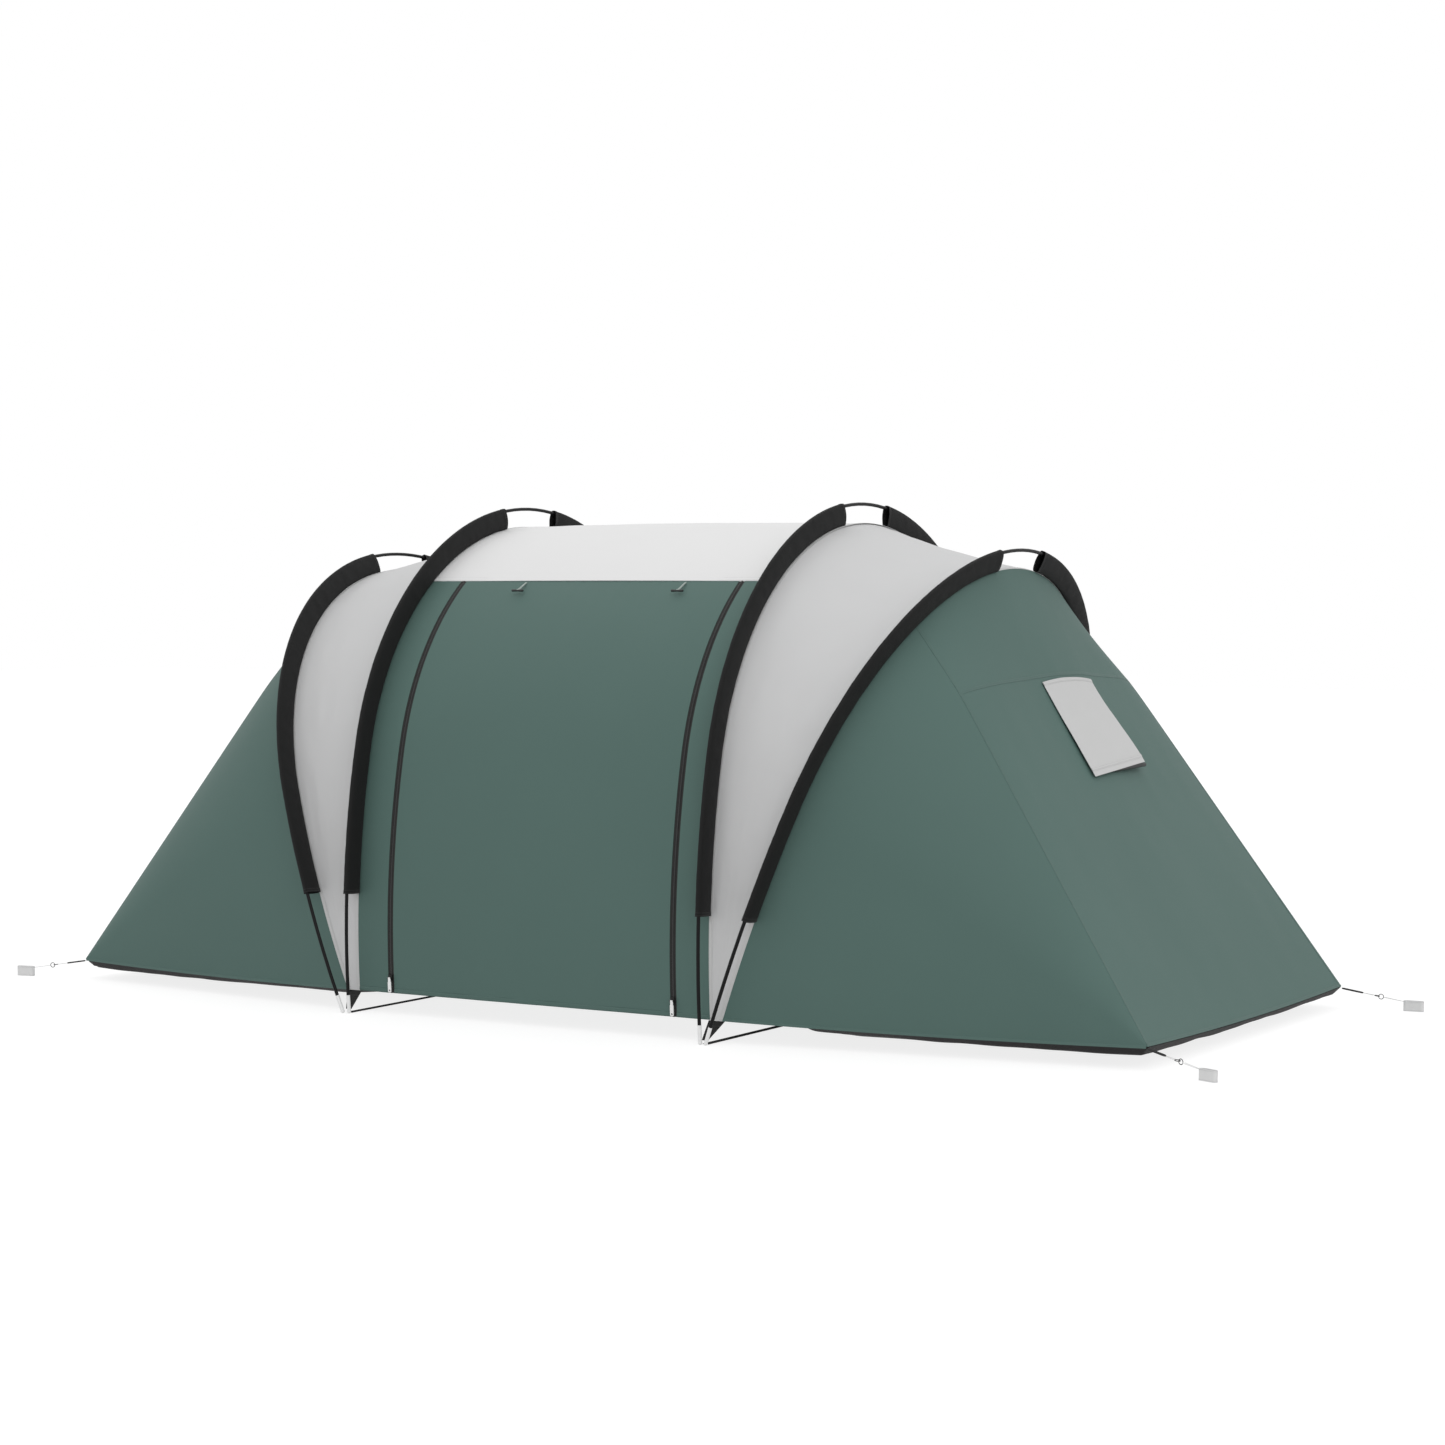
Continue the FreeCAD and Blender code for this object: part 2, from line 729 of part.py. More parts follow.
def make_groundsheets():
    """A shallow tray: flat floor, edges that rise to a fold, and a steep rim under the fly's hem."""
    foot_y = outer.point(outer_hem, fin).y
    corners = [
        (bay_half + sheet_bay_gap, foot_y),
        (end_reach, -end_half_width),
        (end_reach, end_half_width),
        (bay_half + sheet_bay_gap, -foot_y),
    ]
    rim_z = hem_height - sheet_rim_clearance
    bend = [sheet_bend_inset] * 3 + [sheet_door_bend_inset]
    floor = [sheet_floor_inset] * 3 + [sheet_door_floor_inset]

    def tray(extra, lift, rim_lift):
        wires = [
            inset_outline(corners, [inset + extra for inset in floor], lift),
            inset_outline(corners, [inset + extra for inset in bend], sheet_bend_height + lift),
            inset_outline(corners, [1.0 + extra] * 4, rim_z + rim_lift),
        ]
        return loft(wires)

    right = tray(0.0, 0.0, 0.0).cut(tray(sheet, sheet, 2.0 * sheet)).Solids[0]
    save("groundsheet_right", right)
    save("groundsheet_left", mirror_x(right))


# Inner tents

def inner_tent_block(extra, shift, sink):
    """The bedroom's inside as a solid, from the leaning partition to the low end wall."""
    inset = fin + inner_tent_gap + extra
    low = outer.along_at_height(inner_tent_foot, inset)
    count = 15
    arch_points = []
    end_points = []
    for share in shares(count):
        along = low + share * (outer.length - 2.0 * low)
        flat = outer.spot(along, inset)
        arch_points.append(V(
            outer.foot_x + flat.z * math.sin(outer_lean) + shift * math.cos(outer_lean),
            flat.y,
            flat.z * math.cos(outer_lean) - shift * math.sin(outer_lean)))
        angle = math.pi * share
        end_points.append(V(
            inner_end_x - shift,
            -(inner_end_half_width - extra) * math.cos(angle),
            inner_tent_foot + (inner_end_height - extra - inner_tent_foot) * math.sin(angle)))
    arch_down = V(-sink * math.tan(outer_lean), 0, -sink)
    end_down = V(0, 0, -sink)
    arch_points += [arch_points[-1] + arch_down, arch_points[0] + arch_down]
    end_points += [end_points[-1] + end_down, end_points[0] + end_down]
    return loft([Part.makePolygon(points + [points[0]]) for points in (arch_points, end_points)])


def make_inner_tents():
    outside = inner_tent_block(0.0, 0.0, 2.0)
    inside = inner_tent_block(inner_tent_cloth, inner_tent_cloth, 12.0)
    slab = block((-30, -inner_door_half_width, inner_door_foot), (30, inner_door_half_width, inner_door_top))
    tent = outside.cut(inside).cut(outer.stand(slab)).Solids[0]
    gap = inner_door_clearance
    leaf = block(
        (0.0, -inner_door_half_width + gap, inner_door_foot + gap),
        (inner_tent_cloth, inner_door_half_width - gap, inner_door_top - gap))
    door = outer.stand(leaf)
    save("inner_tent_right", tent)
    save("inner_tent_left", mirror_x(tent))
    save("inner_door_right", door)
    save("inner_door_left", mirror_x(door))


# Corner tethers

def rounded_tube(points, radius):
    """A tube along straight runs with tangent arcs, each arc as large as its runs allow."""
    edges = []
    start = points[0]
    for before, here, after in zip(points, points[1:], points[2:]):
        back = before - here
        on = after - here
        shorter = min(back.Length, on.Length)
        half_turn = (math.pi - back.getAngle(on)) / 2.0
        cut = 0.45 * shorter
        print("  tether arc radius", round(cut / math.tan(half_turn), 1))
        first = toward(here, before, cut)
        last = toward(here, after, cut)
        bend_radius = cut / math.tan(half_turn)
        inward = first + last - here * 2.0
        inward.normalize()
        centre = here + inward * (bend_radius / math.cos(half_turn))
        edges.append(Part.LineSegment(start, first).toShape())
        edges.append(Part.Arc(first, centre - inward * bend_radius, last).toShape())
        start = last
    edges.append(Part.LineSegment(start, points[-1]).toShape())
    path = Part.Wire(edges)
    section = Part.Wire(Part.Circle(points[0], points[1] - points[0], radius).toShape())
    tube = path.makePipeShell([section], True, True)
    return tube.Solids[0]


def on_tether(along, across=0.0, up=0.0):
    return V(along, across, tether_top - tether_slope * along + up)


def hairpin(start, end):
    """The route of a doubled cord: out, round the end and back."""
    half = lashing_half_width
    return [on_tether(start, -half), on_tether(end, -half), on_tether(end, half), on_tether(start, half)]


def stadium(start, end, half_width, height, low_z):
    radius = half_width
    box = block((start + radius, -half_width, low_z), (end - radius, half_width, low_z + height))
    near = Part.makeCylinder(radius, height, V(start + radius, 0, low_z))
    far = Part.makeCylinder(radius, height, V(end - radius, 0, low_z))
    return box.fuse(near).fuse(far).removeSplitter().Solids[0]


def elastic_loop():
    """The black loop at the fly's corner, a closed cord lying along the tether."""
    half = loop_half_width - loop_cord_radius
    near = loop_start + loop_half_width
    far = loop_end - loop_half_width
    pieces = []
    for x, turn in ((near, -180.0), (far, 180.0)):
        face = circle_face(V(x, -half, 0), V(1, 0, 0), loop_cord_radius)
        pieces.append(face.revolve(V(x, 0, 0), V(0, 0, 1), turn))
    for y in (-half, half):
        pieces.append(Part.makeCylinder(loop_cord_radius, far - near, V(near, y, 0), V(1, 0, 0)))
    loop = pieces[0].multiFuse(pieces[1:]).removeSplitter().Solids[0]
    loop.rotate(V(0, 0, 0), V(0, 1, 0), math.degrees(math.atan(tether_slope)))
    loop.translate(V(0, 0, tether_top))
    return loop


def make_tethers():
    loop = elastic_loop()
    slope = V(1, 0, -tether_slope)
    slope.normalize()
    across = V(0, 1, 0)
    flat_ring = Part.makeTorus(ring_radius, ring_wire_radius, on_tether(ring_places[0]), slope.cross(across))
    upright_ring = Part.makeTorus(ring_radius, ring_wire_radius, on_tether(ring_places[1]), across)
    reach = ring_radius + ring_wire_radius + tether_cord_radius + tether_clearance
    first_cord = rounded_tube(
        hairpin(ring_places[0] - reach, loop_end + tether_cord_radius + tether_clearance), tether_cord_radius)
    second_cord = rounded_tube(
        hairpin(ring_places[1] + reach, band_start - tether_cord_radius - tether_clearance), tether_cord_radius)
    band = stadium(band_start, band_start + band_length, band_width / 2.0, band_height, band_ground_clearance)
    hollow = stadium(
        band_start + band_wall, band_start + band_length - band_wall, band_width / 2.0 - band_wall,
        band_height + 2.0, band_ground_clearance - 1.0)
    band = band.cut(hollow).Solids[0]
    loops = []
    rings = []
    for name, heading in tether_headings.items():
        x = end_reach if "right" in name else -end_reach
        y = end_half_width if "back" in name else -end_half_width

        def place(shape):
            placed = shape.copy()
            placed.rotate(V(0, 0, 0), V(0, 0, 1), heading)
            placed.translate(V(x, y, 0))
            return placed

        loops.append(place(loop))
        rings += [place(flat_ring), place(upright_ring)]
        save(f"tether_cord_{name}", [place(first_cord), place(second_cord)])
        save(f"tether_band_{name}", place(band))
    save("tether_loops", loops)
    save("tether_rings", rings)


def main():
    os.makedirs("parts", exist_ok=True)
    make_poles()
    make_sleeves()
    make_bay()
    make_sliders()
    make_toggles()
    make_gores()
    make_ends()
    make_vent_flaps()
    make_feet()
    make_groundsheets()
    make_inner_tents()
    make_tethers()


main()
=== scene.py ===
import bpy
import bmesh
import math
from mathutils import Vector, Matrix, noise


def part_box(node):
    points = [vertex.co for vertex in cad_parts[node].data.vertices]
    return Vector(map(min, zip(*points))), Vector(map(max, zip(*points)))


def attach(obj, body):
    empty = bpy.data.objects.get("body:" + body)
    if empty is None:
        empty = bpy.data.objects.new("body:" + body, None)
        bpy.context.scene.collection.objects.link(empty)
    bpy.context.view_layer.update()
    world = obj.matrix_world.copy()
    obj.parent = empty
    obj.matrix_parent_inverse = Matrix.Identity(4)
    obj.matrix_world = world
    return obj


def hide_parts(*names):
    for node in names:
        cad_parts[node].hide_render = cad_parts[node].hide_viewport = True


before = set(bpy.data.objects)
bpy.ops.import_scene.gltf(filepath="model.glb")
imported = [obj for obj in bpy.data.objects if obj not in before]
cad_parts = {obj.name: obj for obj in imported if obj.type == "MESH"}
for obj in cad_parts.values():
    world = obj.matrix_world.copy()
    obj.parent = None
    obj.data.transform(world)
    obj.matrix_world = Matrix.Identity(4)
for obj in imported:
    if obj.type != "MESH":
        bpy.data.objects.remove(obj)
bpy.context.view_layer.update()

scene = bpy.context.scene
scene.view_settings.view_transform = "Standard"
print("frame loaded")

# the tent's own shape, in metres, as the frame has it

innerArch = {"halfWidth": 1.025, "widest": 0.263, "sideRadius": 2.740, "rise": 1.631, "footX": 0.660,
             "lean": 0.0}
outerArch = {"halfWidth": 1.027, "widest": 0.242, "sideRadius": 2.915, "rise": 1.577, "footX": 0.680,
             "lean": math.radians(20.3)}
fly = {"fin": 0.062, "hem": 0.068, "roofSeam": 1.382, "zipX": 0.532, "tapeWidth": 0.028,
       "cornerX": 2.0, "cornerY": 0.780, "cornerSeam": 1.507, "endSeam": 1.030, "endSeamBow": 0.075,
       "endSag": 0.026, "knee": {"right": 0.036, "left": 0.018}, "kneeSpread": 0.68}


def prepareArch(arch):
    sideCentre = arch["sideRadius"] - arch["halfWidth"]
    over = arch["rise"] - arch["widest"]
    topRadius = (arch["sideRadius"] ** 2 - sideCentre ** 2 - over ** 2) / (2 * (arch["sideRadius"] - over))
    topCentre = arch["rise"] - topRadius
    footAngle = -math.asin(arch["widest"] / arch["sideRadius"])
    joinAngle = math.atan2(topCentre - arch["widest"], sideCentre)
    arch["sideLength"] = arch["sideRadius"] * (joinAngle - footAngle)
    arch["length"] = 2 * arch["sideLength"] + topRadius * (math.pi - 2 * joinAngle)
    # centre y, centre up, radius, first angle, first distance
    arch["legs"] = [
        (sideCentre, arch["widest"], arch["sideRadius"], footAngle, 0.0),
        (0.0, topCentre, topRadius, joinAngle, arch["sideLength"]),
        (-sideCentre, arch["widest"], arch["sideRadius"], math.pi - joinAngle,
         arch["length"] - arch["sideLength"]),
    ]


def archLeg(arch, along):
    leg = arch["legs"][0]
    for later in arch["legs"][1:]:
        if along > later[4]:
            leg = later
    return leg, leg[3] + (along - leg[4]) / leg[2]


def onArch(arch, along, inset=0.0):  # a point on the right-hand arch, inset towards the inside
    (centreY, centreUp, radius, _, _), angle = archLeg(arch, along)
    up = centreUp + (radius - inset) * math.sin(angle)
    y = centreY - (radius - inset) * math.cos(angle)
    return Vector((arch["footX"] + up * math.sin(arch["lean"]), y, up * math.cos(arch["lean"])))


def archOut(arch, along):
    leg, angle = archLeg(arch, along)
    up = math.sin(angle)
    return Vector((up * math.sin(arch["lean"]), -math.cos(angle), up * math.cos(arch["lean"])))


def archAcross(arch):
    return Vector((math.cos(arch["lean"]), 0, -math.sin(arch["lean"])))


def alongAtHeight(arch, height, inset):
    low = 0.0
    high = arch["length"] / 2
    for step in range(40):
        middle = (low + high) / 2
        if onArch(arch, middle, inset).z < height:
            low = middle
        else:
            high = middle
    return low


for arch in (innerArch, outerArch):
    prepareArch(arch)
innerHem = alongAtHeight(innerArch, fly["hem"], fly["fin"])
outerHem = alongAtHeight(outerArch, fly["hem"], fly["fin"])
roofAlong = alongAtHeight(innerArch, fly["roofSeam"], fly["fin"])


# materials

def nodeMaterial(name):
    material = bpy.data.materials.new(name)
    material.use_nodes = True
    tree = material.node_tree
    return material, tree, tree.nodes["Principled BSDF"]


def addNode(tree, kind, links=None, **values):
    node = tree.nodes.new(kind)
    for key, value in values.items():
        setattr(node, key, value)
    for socket, source in (links or {}).items():
        if hasattr(source, "is_output"):
            tree.links.new(source, node.inputs[socket])
        else:
            node.inputs[socket].default_value = source
    return node


def mathNode(tree, operation, a, b=0.0):
    return addNode(tree, "ShaderNodeMath", {0: a, 1: b}, operation=operation).outputs[0]


def mottle(tree, shader, colour, spread, scale, source):  # slow variation of the cloth's colour
    patches = addNode(tree, "ShaderNodeTexNoise",
                      {"Vector": source, "Scale": scale, "Detail": 4.0, "Roughness": 0.55})
    dark = [channel * (1 - spread) for channel in colour] + [1.0]
    light = [min(1.0, channel * (1 + spread)) for channel in colour] + [1.0]
    mix = addNode(tree, "ShaderNodeMix", {0: patches.outputs[0], 6: dark, 7: light}, data_type="RGBA")
    tree.links.new(mix.outputs[2], shader.inputs["Base Color"])
    return mix


def weaveHeight(tree, uv, pitch):  # over and under threads, one pitch apart
    split = addNode(tree, "ShaderNodeSeparateXYZ", {0: uv})
    turn = 2 * math.pi / pitch
    warp = mathNode(tree, "SINE", mathNode(tree, "MULTIPLY", split.outputs[0], turn))
    weft = mathNode(tree, "SINE", mathNode(tree, "MULTIPLY", split.outputs[1], turn))
    return mathNode(tree, "MULTIPLY", warp, weft), split


def bumpInto(tree, shader, height, distance, strength=1.0):
    bump = addNode(tree, "ShaderNodeBump", {"Height": height, "Distance": distance, "Strength": strength})
    tree.links.new(bump.outputs[0], shader.inputs["Normal"])


def clothMaterial(name, colour, roughness=0.62, pitch=0.0016, depth=0.00005, spread=0.04, sheen=0.08,
                  stitches=(), thread=None, creaseDepth=0.0006):
    material, tree, shader = nodeMaterial(name)
    coordinates = addNode(tree, "ShaderNodeTexCoord")
    shader.inputs["Roughness"].default_value = roughness
    shader.inputs["Sheen Weight"].default_value = sheen
    shader.inputs["Sheen Roughness"].default_value = 0.5
    shader.inputs["Specular IOR Level"].default_value = 0.3
    weave, split = weaveHeight(tree, coordinates.outputs["UV"], pitch)
    height = mathNode(tree, "MULTIPLY", weave, depth / 0.001)
    crease = addNode(tree, "ShaderNodeTexNoise",
                     {"Vector": coordinates.outputs["Object"], "Scale": 9.0, "Detail": 3.0, "Distortion": 0.6})
    height = mathNode(tree, "ADD", height, mathNode(tree, "MULTIPLY", crease.outputs[0], creaseDepth / 0.001))
    base = mottle(tree, shader, colour, spread, 2.2, coordinates.outputs["Object"])
    if stitches:  # rows of thread at these distances across the strip
        dash = mathNode(tree, "GREATER_THAN", mathNode(
            tree, "SINE", mathNode(tree, "MULTIPLY", split.outputs[0], 2 * math.pi / 0.0042)), -0.3)
        rows = None
        for place in stitches:
            near = mathNode(tree, "LESS_THAN", mathNode(
                tree, "ABSOLUTE", mathNode(tree, "SUBTRACT", split.outputs[1], place)), 0.0005)
            rows = near if rows is None else mathNode(tree, "MAXIMUM", rows, near)
        mask = mathNode(tree, "MULTIPLY", dash, rows)
        over = addNode(tree, "ShaderNodeMix", {0: mask, 6: base.outputs[2], 7: list(thread) + [1.0]},
                       data_type="RGBA")
        tree.links.new(over.outputs[2], shader.inputs["Base Color"])
        height = mathNode(tree, "ADD", height, mathNode(tree, "MULTIPLY", mask, 0.4))
    bumpInto(tree, shader, height, 0.001)
    return material


def hardMaterial(name, colour, roughness, metallic=0.0, grain=260.0, depth=0.00003, spread=0.06, stretch=(1, 1, 1),
                 specular=0.5):
    material, tree, shader = nodeMaterial(name)
    shader.inputs["Roughness"].default_value = roughness
    shader.inputs["Metallic"].default_value = metallic
    shader.inputs["Specular IOR Level"].default_value = specular
    coordinates = addNode(tree, "ShaderNodeTexCoord")
    mapping = addNode(tree, "ShaderNodeMapping", {0: coordinates.outputs["Object"], 3: stretch})
    mottle(tree, shader, colour, spread, 30.0, mapping.outputs[0])
    fine = addNode(tree, "ShaderNodeTexNoise", {"Vector": mapping.outputs[0], "Scale": grain, "Detail": 3.0})
    bumpInto(tree, shader, fine.outputs[0], depth * 10, 0.6)
    return material


green = (0.087, 0.155, 0.137)
pale = (0.79, 0.79, 0.79)
goreGrey = (0.62, 0.622, 0.625)
black = (0.0078, 0.008, 0.008)
materials = {
    "green": clothMaterial("flyGreen", green, sheen=0.03),
    "greenSeam": clothMaterial("flyGreenSeam", [c * 0.94 for c in green], stitches=(0.0025, 0.0095),
                               thread=[c * 1.35 for c in green]),
    "pale": clothMaterial("flyPale", pale, spread=0.015, sheen=0.04),
    "paleSeam": clothMaterial("flyPaleSeam", pale, spread=0.01, stitches=(0.003, 0.018), thread=(0.6, 0.6, 0.6)),
    "gore": clothMaterial("goreGrey", goreGrey, spread=0.02, sheen=0.04),
    "flap": clothMaterial("flapGrey", (0.61, 0.612, 0.61), spread=0.02, pitch=0.002, depth=0.00012),
    "flapHem": clothMaterial("flapGreyHem", (0.605, 0.607, 0.605), spread=0.02, stitches=(0.003, 0.009),
                             thread=(0.5, 0.5, 0.5)),
    "sleeve": clothMaterial("sleeveBlack", black, roughness=0.8, pitch=0.0022, depth=0.00018, spread=0.12,
                            sheen=0.03),
    "sleeveHem": clothMaterial("sleeveBlackHem", [c * 0.85 for c in black], roughness=0.85, pitch=0.0022,
                               depth=0.00018, stitches=(0.003, 0.0115), thread=(0.06, 0.06, 0.06)),
    "groundsheet": clothMaterial("sheetBlack", (0.014, 0.013, 0.0135), roughness=0.55, pitch=0.003, depth=0.0002,
                                 spread=0.15, sheen=0.02, creaseDepth=0.0014),
    "mesh": clothMaterial("ventMesh", (0.03, 0.033, 0.033), roughness=0.7, pitch=0.0024, depth=0.0007, spread=0.1),
    "lining": clothMaterial("liningPale", (0.62, 0.62, 0.60), roughness=0.75, pitch=0.002, spread=0.03),
    "webbing": clothMaterial("webbingBlack", (0.010, 0.010, 0.010), roughness=0.7, pitch=0.003, depth=0.0003,
                             spread=0.12, stitches=(0.0018, 0.0182), thread=(0.05, 0.05, 0.05)),
    "zipTape": clothMaterial("zipTapeBlack", (0.021, 0.022, 0.021), roughness=0.75, pitch=0.0018, depth=0.0002,
                             spread=0.1, stitches=(0.005, 0.023), thread=(0.07, 0.075, 0.07)),
    "zipCoil": hardMaterial("zipCoilBlack", (0.03, 0.03, 0.03), 0.35, grain=900.0),
    "rod": hardMaterial("rodBlack", (0.008, 0.008, 0.0085), 0.36, grain=140.0, stretch=(1, 1, 0.15), specular=0.18),
    "ferrule": hardMaterial("ferruleDark", (0.12, 0.12, 0.125), 0.38, 1.0, grain=400.0, stretch=(1, 1, 0.1)),
    "tip": hardMaterial("tipWhite", (0.93, 0.93, 0.93), 0.45, spread=0.02),
    "shockCord": hardMaterial("shockElastic", (0.02, 0.02, 0.02), 0.8, grain=600.0),
    "slider": hardMaterial("sliderDark", (0.03, 0.03, 0.03), 0.4, 0.6),
    "puller": hardMaterial("pullerWhite", (0.94, 0.94, 0.94), 0.4, spread=0.02),
    "toggle": hardMaterial("toggleBlack", (0.02, 0.022, 0.022), 0.45),
    "toggleCord": hardMaterial("toggleCordPale", (0.40, 0.46, 0.43), 0.8, grain=900.0, depth=0.0001),
    "cord": hardMaterial("cordWhite", (0.78, 0.78, 0.78), 0.7, grain=1500.0, depth=0.0001, spread=0.05),
    "ring": hardMaterial("ringWire", (0.10, 0.10, 0.10), 0.3, 1.0, grain=700.0),
    "elastic": hardMaterial("elasticBlack", (0.02, 0.02, 0.02), 0.75, grain=1100.0, depth=0.0001),
    "band": clothMaterial("bandGrey", (0.84, 0.84, 0.84), roughness=0.7, pitch=0.0022, depth=0.00025, spread=0.03,
                          stitches=(0.003, 0.031), thread=(0.6, 0.6, 0.6)),
}
print("materials ready:", len(materials))


# making and placing cloth

def faceOutward(bm, inside):
    lean = sum((face.normal.dot(face.calc_center_median() - inside) * face.calc_area() for face in bm.faces), 0.0)
    if lean < 0:
        bmesh.ops.reverse_faces(bm, faces=bm.faces)


def finishPiece(name, bm, material, body="tent", thickness=0.0):
    for edge in bm.edges:
        if edge.is_boundary:
            edge.smooth = False
    mesh = bpy.data.meshes.new(name)
    bm.to_mesh(mesh)
    bm.free()
    for polygon in mesh.polygons:
        polygon.use_smooth = True
    mesh.materials.append(materials[material])
    piece = bpy.data.objects.new(name, mesh)
    scene.collection.objects.link(piece)
    if thickness:
        wall = piece.modifiers.new("wall", "SOLIDIFY")
        wall.thickness = thickness
        wall.offset = -1.0
    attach(piece, body)
    return piece


def clothPiece(name, place, size, cells, material, body="tent", inside=Vector((0, 0, 0.3)), thickness=0.0008,
               weld=False, cut=None):
    bm = bmesh.new()
    uvLayer = bm.loops.layers.uv.new("UVMap")
    bmesh.ops.create_grid(bm, x_segments=cells[0], y_segments=cells[1], size=0.5, calc_uvs=True)
    for face in bm.faces:
        for loop in face.loops:
            u, v = loop[uvLayer].uv
            loop[uvLayer].uv = (u * size[0], v * size[1])
    for vert in bm.verts:
        vert.co = place(vert.co.x + 0.5, vert.co.y + 0.5)
    if weld:
        bmesh.ops.remove_doubles(bm, verts=bm.verts, dist=0.00001)
    if cut:
        cut(bm)
    bm.normal_update()
    faceOutward(bm, inside)
    return finishPiece(name, bm, material, body, thickness)


def rippled(place, depth):  # pushes a surface along its own normal
    def moved(u, v):
        acrossU = place(min(u + 0.01, 1), v) - place(max(u - 0.01, 0), v)
        acrossV = place(u, min(v + 0.01, 1)) - place(u, max(v - 0.01, 0))
        return place(u, v) + acrossU.cross(acrossV).normalized() * depth(u, v)
    return moved


def ripple(u, v, seed):
    return noise.noise(Vector((u, v, seed)))


def inner(u, v):  # nought at the edges of a panel, one in its middle
    return min(1.0, 4.0 * math.sin(math.pi * u) * math.sin(math.pi * v))


def ease(low, high, value):
    share = max(0.0, min(1.0, (value - low) / (high - low)))
    return share * share * (3 - 2 * share)


def mirrored(place, sideX, sideY=1):
    return lambda u, v: Vector((place(u, v).x * sideX, place(u, v).y * sideY, place(u, v).z))


def stripAlong(line, out, across, width, lift, crown=0.0006):
    # a flat tape that follows line(u), its width to both sides of it
    def place(u, v):
        share = 2 * v - 1
        return line(u) + across(u) * (share * width / 2) + out(u) * (lift + crown * (1 - share * share))
    return place


sides = {"right": 1, "left": -1}
print("cloth tools ready")

# middle bay

bay = {"halfLength": 0.660, "roofSag": 0.007, "roofHem": 0.022, "tapeLap": 0.003}
tapeInner = fly["zipX"] - fly["tapeWidth"] / 2
tapeOuter = fly["zipX"] + fly["tapeWidth"] / 2


def bayPlace(lowX, highX, lowAlong, highAlong, lift=0.0):
    def place(u, v):
        spot = onArch(innerArch, lowAlong + v * (highAlong - lowAlong), fly["fin"] - lift)
        return Vector((lowX + u * (highX - lowX), spot.y, spot.z))
    return place


roofLength = innerArch["length"] - 2 * roofAlong
wallLength = roofAlong - innerHem


def roofDepth(u, v):
    nearEnd = ease(0.25, 0.5, abs(u - 0.5))
    creases = 0.0035 * ripple(u * 9 + v * 7, v * 3, 1.0) * (0.35 + nearEnd)
    sag = bay["roofSag"] * math.sin(math.pi * u) * (0.4 + 0.6 * math.sin(math.pi * v))
    return sag + creases * inner(u, v)


roof = clothPiece("flyRoof", rippled(bayPlace(-0.660, 0.660, roofAlong, innerArch["length"] - roofAlong), roofDepth),
                  (1.32, roofLength), (96, 84), "pale")
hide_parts("fly_roof")


def wallDepth(seed, width):
    def depth(u, v):
        puckers = 0.0012 * ripple(u * width * 40, v * 5, seed) * ease(0.75, 1.0, v)
        folds = 0.0035 * ripple(u * width * 5, v * 2.2, seed + 5) * inner(u, v)
        hang = 0.0030 * ripple(u * width * 9, 0.5, seed + 9) * (1 - ease(0.0, 0.25, v)) * math.sin(math.pi * u)
        return puckers * math.sin(math.pi * u) + folds + hang
    return depth


def wallPanel(name, node, lowX, highX, seed, body="tent", back=False):
    depth = wallDepth(seed, highX - lowX)
    place = rippled(bayPlace(lowX, highX, innerHem, roofAlong), depth)
    if back:
        place = mirrored(place, 1, -1)
    columns = max(8, int((highX - lowX) / 0.014))
    panel = clothPiece(name, place, (highX - lowX, wallLength), (columns, 96), "green", body)
    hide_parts(node)
    hem = stripAlong(
        lambda u: bayPlace(lowX, highX, innerHem, roofAlong)(u, 0.006),
        lambda u: archOut(innerArch, innerHem),
        lambda u: Vector((0, 0, 1)), 0.012, 0.0012)
    if back:
        hem = mirrored(hem, 1, -1)
    hemPiece = clothPiece(name + "Hem", hem, (highX - lowX, 0.012), (columns, 4), "greenSeam", body)
    return panel


doorEdge = tapeInner + bay["tapeLap"]
wallPanel("doorCloth", "door_front", -doorEdge, doorEdge, 3.0, body="door_front")
wallPanel("wallStripRight", "wall_front_right", tapeOuter - bay["tapeLap"], bay["halfLength"], 4.0)
wallPanel("wallStripLeft", "wall_front_left", -bay["halfLength"], bay["tapeLap"] - tapeOuter, 5.0)
wallPanel("backWall", "wall_back", -bay["halfLength"], bay["halfLength"], 6.0, back=True)


def roofHemStrip(name, sideY):
    place = bayPlace(-bay["halfLength"], bay["halfLength"], roofAlong + 0.001, roofAlong + bay["roofHem"], 0.0014)
    if sideY < 0:
        place = mirrored(place, 1, -1)
    return clothPiece(name, place, (1.32, bay["roofHem"]), (96, 4), "paleSeam")


roofHems = [roofHemStrip("roofHemFront", 1), roofHemStrip("roofHemBack", -1)]
print("middle bay done")

# door zips

zips = {"sink": 0.0012, "coilWidth": 0.0055, "coilHeight": 0.0030, "pitch": 0.0030}


